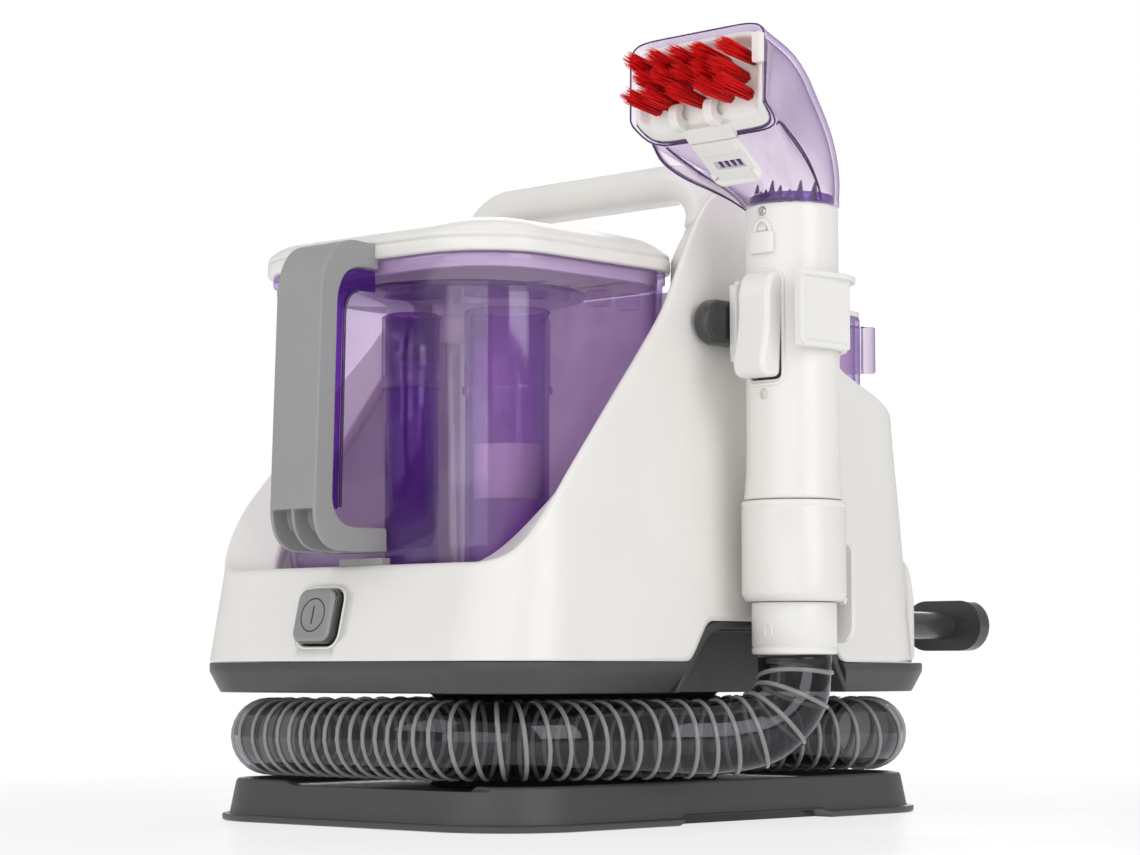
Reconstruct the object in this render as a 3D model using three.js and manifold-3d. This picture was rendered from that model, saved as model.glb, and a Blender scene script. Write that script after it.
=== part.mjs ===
// Spot carpet cleaner machine: an upright body on a low tray, with the suction hose
// wound round the gap between them and a spray wand clipped to the right side.
// Millimetres. +Z is up, -Y is the front, +X is the wand side.
// The origin is on the floor, under the centre of the base tray.
import * as THREE from 'three';
import { mergeVertices } from 'three/addons/utils/BufferGeometryUtils.js';
import Module from 'manifold-3d';

const wasm = await Module();
wasm.setup();

// ---------------------------------------------------------------- driving dimensions
const GAP = 0.3;                      // clearance between separate solids
const BASE = { halfX: 107, halfY: 158.5, corner: 45, lip: 3.2, deck: 15.5, top: 19.5 };
const CHASSIS = { halfX: 110.5, front: -161.5, rear: 158.5, corner: 40, bottom: 59.5, side: 69, top: 73.5 };
const HOSE_R = 18;
const HOSE_Z = 39;
const OUTER_LANE = { x: 92, y: 143.5, r: 46 };
const INNER_LANE = { x: 47.5, y: 99.5, r: 40 };
const WAND = { x: 133.8, y: 1.5, r: 21.5, bore: 17, bottom: 147.3, top: 283 };
const CUFF = { r: 24, bottom: 101, top: 147 };
const SWIVEL = { r: 19.5, bottom: 77, top: 100.7 };
const SKIN = 3;                       // wall of the housing and covers
const TANK_WALL = 2.5;
const SILL = 115;                     // top of the housing's front wall
const DRAFT = 0.24;                   // how far the front wall leans back per mm of height
const FRONT_TANK = { halfX: 76, front: -136, rear: -10, corner: 33, bottom: 112, rim: 255, bulge: 5 };
const REAR_TANK = { halfX: 78, front: 64, rear: 141, corner: 22, bottom: 112, rim: 248 };
const LID = { halfX: 85.3, front: -146, rear: -6, corner: 36, bottom: 255.3, edge: 264, crest: 274 };
const COLUMN = { front: -2, rear: 60, halfX: 86, shoulder: 236, top: 250 };
const RECESS = { back: 77, low: [-53, 75], high: [-31, 57], top: 92 };
const HANDLE = { y: 14, halfY: 14, halfZ: 9, legX: 77.5, z: 305, bend: 24, foot: COLUMN.shoulder + GAP };

const DEG = Math.PI / 180;
const group = new THREE.Group();

// ---------------------------------------------------------------- materials
const LOOKS = {
  white: { color: 0xe9e7e2, roughness: 0.38, metalness: 0 },
  trim_white: { color: 0xf1f0ee, roughness: 0.45, metalness: 0 },
  grey: { color: 0x8f8f91, roughness: 0.5, metalness: 0 },
  dark_grey: { color: 0x616163, roughness: 0.7, metalness: 0 },
  black: { color: 0x242426, roughness: 0.5, metalness: 0 },
  rubber: { color: 0x2b2b2c, roughness: 0.9, metalness: 0 },
  purple: { color: 0x6a34a8, roughness: 0.12, metalness: 0, transparent: true, opacity: 0.45 },
  clear: { color: 0xb9b9bb, roughness: 0.15, metalness: 0, transparent: true, opacity: 0.4 },
  red: { color: 0xb8161d, roughness: 0.6, metalness: 0 },
  steel: { color: 0xa7a9ac, roughness: 0.3, metalness: 1 },
  board: { color: 0x1f5a34, roughness: 0.5, metalness: 0 },
};

function add(name, geometry, look, parent = group) {
  const mesh = new THREE.Mesh(geometry, new THREE.MeshStandardMaterial(LOOKS[look]));
  mesh.name = name;
  parent.add(mesh);
  return mesh;
}

// ---------------------------------------------------------------- solids
function signedVolume(geometry) {
  const p = geometry.attributes.position;
  const index = geometry.index;
  const [a, b, c] = [new THREE.Vector3(), new THREE.Vector3(), new THREE.Vector3()];
  let volume = 0;
  for (let i = 0; i < index.count; i += 3) {
    a.fromBufferAttribute(p, index.getX(i));
    b.fromBufferAttribute(p, index.getX(i + 1));
    c.fromBufferAttribute(p, index.getX(i + 2));
    volume += a.dot(b.cross(c)) / 6;
  }
  return volume;
}

function merged(geometry) {
  const bare = geometry.clone();
  bare.deleteAttribute('normal');
  bare.deleteAttribute('uv');
  return mergeVertices(bare, 1e-4);
}

function outward(geometry) {
  const solid = merged(geometry);
  if (signedVolume(solid) < 0) {
    const index = Array.from(solid.index.array);
    for (let i = 0; i < index.length; i += 3) {
      [index[i + 1], index[i + 2]] = [index[i + 2], index[i + 1]];
    }
    solid.setIndex(index);
  }
  return solid;
}

function toManifold(geometry) {
  const solid = outward(geometry);
  return new wasm.Manifold(new wasm.Mesh({
    numProp: 3,
    vertProperties: Float32Array.from(solid.attributes.position.array),
    triVerts: Uint32Array.from(solid.index.array),
  }));
}

function fromManifold(manifold) {
  const mesh = manifold.getMesh();
  const geometry = new THREE.BufferGeometry();
  geometry.setAttribute('position', new THREE.BufferAttribute(Float32Array.from(mesh.vertProperties), 3));
  geometry.setIndex(Array.from(mesh.triVerts));
  return geometry;
}

function cut(body, ...tools) {
  return fromManifold(tools.reduce((solid, tool) => solid.subtract(toManifold(tool)), toManifold(body)));
}

function join(body, ...others) {
  return fromManifold(others.reduce((solid, other) => solid.add(toManifold(other)), toManifold(body)));
}

// A surface through rings of equally many points, capped at both ends or closed on itself.
function ringSurface(rings, closedOnItself = false) {
  const n = rings[0].length;
  const points = rings.flat();
  const index = [];
  const rows = closedOnItself ? rings.length : rings.length - 1;
  for (let i = 0; i < rows; i += 1) {
    const next = (i + 1) % rings.length;
    for (let j = 0; j < n; j += 1) {
      const k = (j + 1) % n;
      index.push(i * n + j, i * n + k, next * n + k, i * n + j, next * n + k, next * n + j);
    }
  }
  if (!closedOnItself) {
    for (const [row, flip] of [[0, true], [rings.length - 1, false]]) {
      const centre = points.length;
      const mean = [0, 1, 2].map((axis) => rings[row].reduce((sum, q) => sum + q[axis], 0) / n);
      points.push(mean);
      for (let j = 0; j < n; j += 1) {
        const pair = [row * n + j, row * n + ((j + 1) % n)];
        index.push(centre, ...(flip ? pair.reverse() : pair));
      }
    }
  }
  const geometry = new THREE.BufferGeometry();
  geometry.setAttribute('position', new THREE.Float32BufferAttribute(points.flat(), 3));
  geometry.setIndex(index);
  return outward(geometry);
}

// A rounded rectangle at height z, anticlockwise from the front right corner.
function ring(x0, x1, y0, y1, radius, z, { steps = 4, bulge = 0 } = {}) {
  const points = [];
  const corners = [[x1, y0, -90], [x1, y1, 0], [x0, y1, 90], [x0, y0, 180]];
  for (const [x, y, start] of corners) {
    const cx = x === x1 ? x - radius : x + radius;
    const cy = y === y0 ? y + radius : y - radius;
    for (let k = 0; k <= steps; k += 1) {
      const angle = (start + (90 * k) / steps) * DEG;
      points.push([cx + radius * Math.cos(angle), cy + radius * Math.sin(angle), z]);
    }
  }
  if (!bulge) return points;
  const middle = [0.5, 0, -0.5].map((f) => [(x0 + x1) / 2 + (f * (x1 - x0)) / 2, y0, z]).reverse();
  const curved = (q) => {
    const across = (2 * (q[0] - (x0 + x1) / 2)) / (x1 - x0);
    const depth = Math.max(0, 1 - (q[1] - y0) / radius);
    return [q[0], q[1] - bulge * (1 - across * across) * depth, q[2]];
  };
  return [...points, ...middle].map(curved);
}

const evenRing = (halfX, halfY, radius, z, options) => ring(-halfX, halfX, -halfY, halfY, radius, z, options);

function box(x0, x1, y0, y1, z0, z1) {
  const geometry = new THREE.BoxGeometry(x1 - x0, y1 - y0, z1 - z0);
  return geometry.translate((x0 + x1) / 2, (y0 + y1) / 2, (z0 + z1) / 2);
}

function rod(radius, from, to, sides = 20, endRadius = radius) {
  const [a, b] = [new THREE.Vector3(...from), new THREE.Vector3(...to)];
  const axis = b.clone().sub(a);
  const geometry = new THREE.CylinderGeometry(endRadius, radius, axis.length(), sides);
  const turn = new THREE.Quaternion().setFromUnitVectors(new THREE.Vector3(0, 1, 0), axis.clone().normalize());
  return geometry.applyQuaternion(turn).translate(...a.add(b).multiplyScalar(0.5).toArray());
}

// A ring of revolution about a vertical axis; the profile is [radius, height] and closes on itself.
function turned(profile, x, y, sides = 28) {
  const points = [...profile, profile[0]].map(([r, z]) => new THREE.Vector2(r, z));
  return outward(new THREE.LatheGeometry(points, sides).rotateX(Math.PI / 2)).translate(x, y, 0);
}

const pipe = (outer, inner, z0, z1, x, y, sides) => turned(
  [[outer, z0], [outer, z1], [inner, z1], [inner, z0]], x, y, sides);

// An outline drawn in the Y-Z plane, given a thickness along X.
function slabX(shape, x0, x1, curveSegments = 6) {
  const geometry = new THREE.ExtrudeGeometry(shape, { depth: x1 - x0, bevelEnabled: false, curveSegments });
  const turn = new THREE.Matrix4().set(0, 0, 1, x0, 1, 0, 0, 0, 0, 1, 0, 0, 0, 0, 0, 1);
  return outward(geometry.applyMatrix4(turn));
}

// An outline drawn in the X-Z plane, given a thickness along Y.
function slabY(shape, y0, y1, curveSegments = 8) {
  const geometry = new THREE.ExtrudeGeometry(shape, { depth: y1 - y0, bevelEnabled: false, curveSegments });
  const turn = new THREE.Matrix4().set(1, 0, 0, 0, 0, 0, 1, y0, 0, 1, 0, 0, 0, 0, 0, 1);
  return outward(geometry.applyMatrix4(turn));
}

function slabZ(shape, z0, z1, curveSegments = 8) {
  const geometry = new THREE.ExtrudeGeometry(shape, { depth: z1 - z0, bevelEnabled: false, curveSegments });
  return outward(geometry.translate(0, 0, z0));
}

function outline(points) {
  return new THREE.Shape(points.map(([u, v]) => new THREE.Vector2(u, v)));
}

function stadium(u0, u1, v0, v1) {
  const r = (v1 - v0) / 2;
  const shape = new THREE.Shape();
  shape.moveTo(u0 + r, v0);
  shape.lineTo(u1 - r, v0);
  shape.absarc(u1 - r, v0 + r, r, -Math.PI / 2, Math.PI / 2, false);
  shape.lineTo(u0 + r, v1);
  shape.absarc(u0 + r, v0 + r, r, Math.PI / 2, (3 * Math.PI) / 2, false);
  return shape;
}

function roundedSquare(half, radius) {
  const shape = new THREE.Shape();
  shape.absarc(half - radius, half - radius, radius, 0, Math.PI / 2, false);
  shape.absarc(radius - half, half - radius, radius, Math.PI / 2, Math.PI, false);
  shape.absarc(radius - half, radius - half, radius, Math.PI, 1.5 * Math.PI, false);
  shape.absarc(half - radius, radius - half, radius, 1.5 * Math.PI, 2 * Math.PI, false);
  return shape;
}

function tube(points, radius, sides, steps) {
  const path = new THREE.CatmullRomCurve3(points.map((q) => new THREE.Vector3(...q)), false, 'centripetal');
  const section = new THREE.Shape();
  for (let k = 0; k < sides; k += 1) {
    const angle = (2 * Math.PI * k) / sides;
    const place = [radius * Math.cos(angle), radius * Math.sin(angle)];
    if (k === 0) section.moveTo(...place);
    else section.lineTo(...place);
  }
  return new THREE.ExtrudeGeometry(section, { steps, extrudePath: path, bevelEnabled: false });
}

// A bar of rounded section that follows a flat path; across is the direction out of the path's plane.
function bar(path, across, halfAcross, halfDeep, radius) {
  const section = evenRing(halfAcross, halfDeep, radius, 0, { steps: 3 });
  const rings = path.map((point, i) => {
    const here = new THREE.Vector3(...point);
    const before = new THREE.Vector3(...path[Math.max(i - 1, 0)]);
    const after = new THREE.Vector3(...path[Math.min(i + 1, path.length - 1)]);
    const along = after.sub(before).normalize();
    const deep = new THREE.Vector3().crossVectors(along, across);
    return section.map(([u, v]) => here.clone().addScaledVector(across, u).addScaledVector(deep, v).toArray());
  });
  return ringSurface(rings);
}

const smooth = (t) => {
  const s = Math.min(Math.max(t, 0), 1);
  return s * s * (3 - 2 * s);
};

function interpolate(knots, u) {
  if (u <= knots[0][0]) return knots[0][1];
  for (let i = 1; i < knots.length; i += 1) {
    const [[u0, v0], [u1, v1]] = [knots[i - 1], knots[i]];
    if (u <= u1) return v0 + ((v1 - v0) * (u - u0)) / (u1 - u0);
  }
  return knots[knots.length - 1][1];
}

// ---------------------------------------------------------------- base tray and pedestal
const PAD = { x: 80, y: 125, r: 9, height: 3 };
const BASE_SLOT = { y0: -46, y1: 63, height: 4.5, depth: 12 };
const FRONT_DIP = { x0: -38, x1: 85, depth: 2.2 };

function baseTray() {
  const { halfX, halfY, corner, lip, deck, top } = BASE;
  const inset = (d, z) => evenRing(halfX - d, halfY - d, corner - d, z);
  const body = ringSurface([inset(0, 0), inset(0, lip), inset(3.5, lip + 0.01), inset(7, top), inset(11, top),
    inset(12, deck)]);
  const tools = [
    box(halfX - BASE_SLOT.depth, halfX + 1, BASE_SLOT.y0, BASE_SLOT.y1, -1, BASE_SLOT.height),
    box(FRONT_DIP.x0, FRONT_DIP.x1, -halfY, -halfY + 14, top - FRONT_DIP.depth, top + 1),
  ];
  for (const sx of [-1, 1]) {
    for (const sy of [-1, 1]) {
      tools.push(rod(PAD.r + GAP, [sx * PAD.x, sy * PAD.y, -1], [sx * PAD.x, sy * PAD.y, PAD.height + GAP]));
    }
    for (const y of [-70, 0, 70]) {
      const x = sx * 46;
      tools.push(box(x - 34, x + 34, y - 30, y + 30, -1, deck - SKIN));
    }
  }
  return cut(body, ...tools);
}

function addBase() {
  add('base_tray', baseTray(), 'dark_grey');
  const places = [[-1, -1, 'front_left'], [1, -1, 'front_right'], [-1, 1, 'rear_left'], [1, 1, 'rear_right']];
  for (const [sx, sy, where] of places) {
    const [x, y] = [sx * PAD.x, sy * PAD.y];
    add(`foot_${where}`, rod(PAD.r, [x, y, 0], [x, y, PAD.height]), 'rubber');
  }
  const waist = { x: 28, y: 80, r: 25 };
  const flare = 6;
  const level = (d, z) => evenRing(waist.x + d, waist.y + d, waist.r + d, z);
  add('pedestal', ringSurface([level(flare, BASE.deck + GAP), level(0, 22), level(0, 54),
    level(flare, CHASSIS.bottom - GAP)]), 'black');
  const mouth = 8.3;
  const end = 34;
  add('hose_port', join(
    rod(HOSE_R - 0.5, [mouth, INNER_LANE.y, HOSE_Z], [end, INNER_LANE.y, HOSE_Z]),
    box(mouth + 4, end, waist.y + GAP, INNER_LANE.y, HOSE_Z - 13, HOSE_Z + 13)), 'black');
}

// ---------------------------------------------------------------- suction hose
// The centreline leaves the port, goes once round the inner lane, moves out, goes once round
// the outer lane, and rises to the wand outside the right edge of the tray.
const corner = ({ x, y, r }, sx, sy, from, to) => [0, 1, 2, 3].map((k) => {
  const angle = (from + ((to - from) * k) / 3) * DEG;
  return [sx * (x - r) + r * Math.cos(angle), sy * (y - r) + r * Math.sin(angle), HOSE_Z];
});

const HOSE_ROUTE = [
  [8, INNER_LANE.y, HOSE_Z],
  ...corner(INNER_LANE, -1, 1, 90, 180),
  [-INNER_LANE.x, 0, HOSE_Z],
  ...corner(INNER_LANE, -1, -1, 180, 270),
  ...corner(INNER_LANE, 1, -1, 270, 360),
  [48.5, -28, HOSE_Z],
  [56, 12, HOSE_Z],
  [74, 48, HOSE_Z],
  ...corner(OUTER_LANE, 1, 1, 10, 90),
  ...corner(OUTER_LANE, -1, 1, 90, 180),
  [-OUTER_LANE.x, 0, HOSE_Z],
  ...corner(OUTER_LANE, -1, -1, 180, 270),
  ...corner(OUTER_LANE, 1, -1, 270, 340),
  [97, -85, HOSE_Z],
  [105.5, -58, HOSE_Z],
  [116, -33, 40],
  [127, -13.5, 46.5],
  [132.8, -2, 58.5],
  [WAND.x, WAND.y, 70],
  [WAND.x, WAND.y, SWIVEL.bottom - GAP],
];

// ---------------------------------------------------------------- chassis
function trapezoid(grow, x0, x1, low = CHASSIS.bottom - 5) {
  const { low: [a, b], high: [c, d], top } = RECESS;
  const slope = (c - a) / (top - CHASSIS.bottom);
  const drop = CHASSIS.bottom - low;
  return slabX(outline([[a - slope * drop - grow, low], [b + slope * drop + grow, low],
    [d + grow, top + grow], [c - grow, top + grow]]), x0, x1);
}

function addChassis() {
  const { halfX, front, rear, corner: r, bottom, side, top } = CHASSIS;
  const level = (d, z) => ring(-halfX + d, halfX - d, front + d, rear - d, r - d, z);
  const floor = bottom + SKIN;
  const rim = 6.5;
  const body = ringSurface([level(5.6, bottom), level(0, side), level(0, top), level(rim, top), level(rim, floor)]);
  add('lower_chassis', cut(body, trapezoid(GAP, RECESS.back - GAP, halfX + 5)), 'dark_grey');
  const wall = 4;
  const outer = trapezoid(0, RECESS.back, halfX - 1.6, bottom);
  add('hose_recess', cut(outer, trapezoid(-wall, RECESS.back + wall, halfX + 5)), 'dark_grey');
}

// ---------------------------------------------------------------- housing
// Height of the housing's top edge against the distance from front to rear along its sides.
const EDGE = [[-150, SILL], [-145, 117.5], [-140.5, 127], [-128.5, 143], [-108, 166.5], [-82, 195.5], [-67, 212],
  [-46.5, 234], [-34.5, 252], [-22.5, 270], [-13.5, 281], [-5, 289], [4, 294], [24, 294], [32, 284], [45, 255],
  [62, 232], [82, 216], [111, 204], [130, 197], [144, 190]];
const housingHalfX = (z) => CHASSIS.halfX - 0.07 * (z - CHASSIS.top) - 6 * smooth((z - 200) / 110);
const lean = (z) => Math.min(z, SILL + 1) - CHASSIS.top;

// A point of the body's outside, or of a surface set inside it, at place t along one half of the outline.
// part is front, frontCorner, side, rearCorner or rear; f goes from 0 to 1 along that part.
function bodyPoint(part, f, z, inset) {
  const halfX = housingHalfX(z) - inset.side;
  const front = CHASSIS.front + DRAFT * lean(z) + inset.front;
  const rear = 150 - 0.035 * (z - CHASSIS.top) - inset.rear;
  const rFront = Math.max(CHASSIS.corner - 0.18 * lean(z) - inset.corner, 6);
  const rRear = CHASSIS.corner - inset.rear;
  if (part === 'front') return [f * (halfX - rFront), front];
  if (part === 'frontCorner') {
    const angle = (f - 1) * 90 * DEG;
    return [halfX - rFront + rFront * Math.cos(angle), front + rFront + rFront * Math.sin(angle)];
  }
  if (part === 'side') return [halfX, front + rFront + f * (rear - rRear - front - rFront)];
  if (part === 'rearCorner') {
    const angle = f * 90 * DEG;
    return [halfX - rRear + rRear * Math.cos(angle), rear - rRear + rRear * Math.sin(angle)];
  }
  return [(1 - f) * (halfX - rRear), rear];
}

const SIDE_STATIONS = [-105, -88, -70, -56, -44, -37.5, -31, -18, -8, 0, 10, 20, 30, 43.5, 57, 62.5, 68, 80, 95];

function stations() {
  const front = CHASSIS.front + CHASSIS.corner;
  const rear = 150 - CHASSIS.corner;
  const list = [0, 0.5].map((f) => ['front', f]);
  [0, 1, 2, 3, 4, 5].forEach((k) => list.push(['frontCorner', k / 6]));
  list.push(['side', 0]);
  SIDE_STATIONS.forEach((y) => list.push(['side', (y - front) / (rear - front)]));
  [0, 1, 2, 3, 4].forEach((k) => list.push(['rearCorner', k / 5]));
  list.push(['rear', 0], ['rear', 0.5], ['rear', 1]);
  return list;
}

function topOf(part, f) {
  if (part === 'front') return SILL;
  if (part === 'rear') return interpolate(EDGE, 150);
  let z = 180;
  for (let pass = 0; pass < 30; pass += 1) {
    z += 0.5 * (interpolate(EDGE, bodyPoint(part, f, z, NO_INSET)[1]) - z);
  }
  return z;
}

const NO_INSET = { side: 0, front: 0, rear: 0, corner: 0 };
const SKIN_INSET = { side: SKIN, front: SKIN, rear: SKIN, corner: SKIN };

// The rolled edge is wide beside the front tank, and as thin as the skin behind it.
function lipInset(part, y, z) {
  const behind = part === 'rear' || part === 'rearCorner' ? 1 : smooth((y + 10) / 8);
  const beside = housingHalfX(z) - 82 - 4 * Math.min(Math.max((z - 118) / 100, 0), 1);
  return { side: beside + (SKIN - beside) * behind, front: 7.5, rear: SKIN, corner: -8 };
}

function outerHousing() {
  const half = stations();
  const recessTop = (y) => interpolate([[-44, 0], [-31, 1], [57, 1], [68, 0]], y);
  const column = ([part, f], side) => {
    const top = topOf(part, f);
    const foot = bodyPoint(part, f, CHASSIS.top, NO_INSET)[1];
    const opening = side > 0 && part === 'side' ? recessTop(foot) : 0;
    const low = CHASSIS.top + GAP + opening * (RECESS.top + GAP - CHASSIS.top);
    const at = (z, inset) => {
      const [x, y] = bodyPoint(part, f, z, inset);
      return [side * x, y, z];
    };
    const lip = lipInset(part, bodyPoint(part, f, top, NO_INSET)[1], top);
    const drop = 4 * (1 - smooth((top - SILL) / 110));
    const heights = [0, 0.33, 0.6, 0.8].map((k) => low + k * (top - low));
    const under = top - drop - 21;
    return [
      ...heights.map((z) => at(z, NO_INSET)),
      at(top, NO_INSET),
      at(top - drop, lip),
      at(top - drop - 12, lip),
      ...heights.reverse().map((z) => at(Math.min(z, under), SKIN_INSET)),
    ];
  };
  const right = half.map((station) => column(station, 1));
  const left = half.slice(1, -1).reverse().map((station) => column(station, -1));
  const around = [...right, ...left];
  const rows = around[0].map((_, row) => around.map((line) => line[row]));
  return ringSurface(rows, true);
}

// ---------------------------------------------------------------- power button
const BUTTON = { x: -13.4, z: 93.5, half: 12.5, corner: 5, proud: 5 };

function buttonGroup() {
  const face = new THREE.Group();
  const wallY = CHASSIS.front + DRAFT * (BUTTON.z - CHASSIS.top);
  face.position.set(BUTTON.x, wallY, BUTTON.z);
  face.rotation.x = Math.PI / 2 - Math.atan(DRAFT);
  group.add(face);
  face.updateMatrixWorld(true);
  return face;
}

function addHousing() {
  const face = buttonGroup();
  const { half, corner: r, proud } = BUTTON;
  const pocket = slabZ(roundedSquare(half + 2 + GAP, r + 2), -8, 4).applyMatrix4(face.matrixWorld);
  add('outer_housing', cut(outerHousing(), pocket), 'white');
  const bezel = cut(slabZ(roundedSquare(half + 2, r + 2), -2.5, 0.8, 4), slabZ(roundedSquare(half + GAP, r), -9, 9, 4));
  add('button_bezel', bezel, 'trim_white', face);
  add('power_button', slabZ(roundedSquare(half, r), -4, proud, 4), 'grey', face);
  add('power_switch', box(-9, 9, -9, 9, -20, -7), 'black', face);

  const { y, halfY, halfZ, legX, z, bend, foot } = HANDLE;
  const path = [[-legX, y, foot], [-legX, y, z - bend]];
  for (let k = 1; k <= 4; k += 1) {
    const angle = (180 - (90 * k) / 4) * DEG;
    path.push([-legX + bend + bend * Math.cos(angle), y, z - bend + bend * Math.sin(angle)]);
  }
  const mirrored = path.map(([x, py, pz]) => [-x, py, pz]).reverse();
  const across = new THREE.Vector3(0, 1, 0);
  add('carry_handle', bar([...path, ...mirrored], across, halfY, halfZ, 8), 'white');

  const { front, rear, halfX, shoulder, top } = COLUMN;
  const waist = 74;
  const level = (x, d, height) => ring(-x + d, x - d, front + d, rear - d, 10 - d, height);
  const steps = [[waist, CHASSIS.bottom + SKIN + GAP], [waist, RECESS.top + 1], [halfX, RECESS.top + 4],
    [halfX, shoulder], [legX - halfZ - 1, shoulder + 0.01], [legX - halfZ - 1, top]];
  const inside = steps.map(([x, height], i) => level(x, SKIN, i === 0 ? height : height - SKIN));
  add('motor_cover', ringSurface([...steps.map(([x, h]) => level(x, 0, h)).reverse(), ...inside]), 'white');

  addSeat('tank_cradle', -134, COLUMN.front - 2, 74, 80, 110);
  addSeat('rear_cradle', COLUMN.rear + 2, 142, 74, 80, 106);

  const panel = { halfX: 88, inner: 150.6, outer: 157.5, bottom: 74, brow: 104, top: 128.5 };
  const profile = outline([[panel.inner, panel.bottom], [panel.outer, panel.bottom], [panel.outer, panel.brow],
    [panel.outer - 2, panel.brow + 10], [panel.outer - 5.3, panel.top - 4], [panel.inner, panel.top]]);
  add('rear_panel', slabX(profile, -panel.halfX, panel.halfX), 'white');
  const grille = { halfX: 38, z0: 140, z1: 162, y: 148, thick: 2.2 };
  const slots = [-3, -2, -1, 0, 1, 2, 3].map((k) => box(k * 10 - 3, k * 10 + 3, 140, 170, grille.z0 + 4, grille.z1 - 4));
  add('exhaust_grille', cut(box(-grille.halfX, grille.halfX, grille.y, grille.y + grille.thick, grille.z0,
    grille.z1), ...slots), 'dark_grey');
  add('cord_gland', rod(9, [24, panel.outer + GAP, 88], [24, panel.outer + 14, 88], 20, 6), 'black');
  addCordHooks(panel.outer + GAP);
}

function addSeat(name, front, rear, narrow, wide, top) {
  const level = (x, d, z) => ring(-x + d, x - d, front + d, rear - d, 24 - d, z);
  const foot = CHASSIS.bottom + SKIN + GAP;
  const neck = RECESS.top + 1;
  const solid = ringSurface([level(wide, 0, top), level(wide, 0, neck + 4), level(narrow, 0, neck),
    level(narrow, 0, foot), level(narrow, SKIN, foot), level(narrow, SKIN, neck), level(wide, SKIN, neck + 6),
    level(wide, SKIN, top - SKIN)]);
  add(name, solid, 'white');
}

function addCordHooks(wallY) {
  const plate = { x0: 50, x1: 98, z0: 80, z1: 106, y0: 200, y1: 208 };
  const stem = { x: 74, z: 93, r: 7 };
  for (const [side, name] of [[1, 'cord_hook_right'], [-1, 'cord_hook_left']]) {
    const ends = [side * plate.x0, side * plate.x1].sort((a, b) => a - b);
    const hook = join(slabY(stadium(...ends, plate.z0, plate.z1), plate.y0, plate.y1),
      rod(stem.r, [side * stem.x, wallY, stem.z], [side * stem.x, plate.y0 + 1, stem.z]));
    add(name, hook, 'black');
  }
}

// ---------------------------------------------------------------- front (dirty water) tank
function addFrontTank() {
  const { halfX, front, rear, corner: r, bottom, rim, bulge } = FRONT_TANK;
  const flareX = 6;
  const flareY = 7;
  const level = (d, z) => {
    const k = (z - bottom) / (rim - bottom);
    const x = halfX + k * flareX - d;
    return ring(-x, x, front - k * flareY + d, rear + k * 2 - d, r + 2 * k - d, z, { bulge });
  };
  add('dirty_tank', ringSurface([level(2, bottom), level(0, bottom + 2), level(0, rim - 5), level(-1.4, rim - 4),
    level(-1.4, rim), level(TANK_WALL, rim), level(TANK_WALL, bottom + 5), level(TANK_WALL + 3, bottom + 3)]),
  'purple');

  const lid = (d, z) => ring(-LID.halfX + d, LID.halfX - d, LID.front + d, LID.rear - d, LID.corner - d, z,
    { bulge: Math.max(bulge - d / 6, 1) });
  add('tank_lid', ringSurface([lid(30, LID.crest), lid(18, LID.crest - 1.5), lid(7, LID.crest - 4.5),
    lid(1.5, LID.edge + 2), lid(0, LID.edge), lid(0, LID.bottom), lid(7, LID.bottom), lid(8, LID.edge - 1),
    lid(22, LID.crest - 6)]), 'white');
  add('lid_seal', ringSurface([level(TANK_WALL + 0.5, rim - 6), level(TANK_WALL + 0.5, rim),
    level(TANK_WALL + 4, rim), level(TANK_WALL + 4, rim - 6)], true), 'rubber');

  const inlet = { x: -34, y: -80, r: 13, top: 240 };
  const air = { x: 10, y: -60, r: 20, top: 240 };
  const floorZ = bottom + 3 + GAP;
  add('inlet_tube', pipe(inlet.r, inlet.r - 2, floorZ, inlet.top, inlet.x, inlet.y, 20), 'purple');
  add('air_tube', pipe(air.r, air.r - 2, floorZ, air.top, air.x, air.y, 24), 'purple');
  add('float', rod(air.r - 4, [air.x, air.y, 150], [air.x, air.y, 176], 20), 'trim_white');
  const plate = ring(-66, 66, -126, -22, 26, 0).map(([x, y]) => [x, y]);
  add('baffle', slabZ(outline(plate), air.top + 2, air.top + 5), 'purple');

  const grip = new THREE.Shape();
  grip.moveTo(-142.2, 122.6);
  grip.lineTo(-172, 122.6);
  grip.quadraticCurveTo(-186, 124, -186.5, 141);
  grip.lineTo(-183, 248);
  grip.quadraticCurveTo(-182, 262, -168, 262);
  grip.lineTo(-151.6, 262);
  grip.lineTo(-151.6, 250);
  grip.lineTo(-148.3, 249);
  grip.lineTo(-148.1, 238);
  grip.lineTo(-165, 238);
  grip.quadraticCurveTo(-173, 238, -173.3, 228);
  grip.lineTo(-175.5, 146);
  grip.quadraticCurveTo(-174, 134, -162, 133.5);
  grip.lineTo(-142.5, 133.5);
  const scoop = outline([[-190, 141], [-177.6, 141], [-176, 132.5], [-165, 130], [-152, 130], [-152, 118],
    [-190, 118]]);
  add('tank_handle', cut(slabX(grip, -15, 15), slabX(scoop, -12.8, -1.1), slabX(scoop, 1.1, 12.8)), 'grey');
  const strip = outline([[-175, 146], [-172.6, 230], [-170.6, 230], [-173, 146]]);
  add('handle_insert', slabX(strip, -12, 12), 'purple');
  add('tank_catch', box(-10, 18, -149, -143, SILL + GAP, SILL + 5), 'grey');
}

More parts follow.
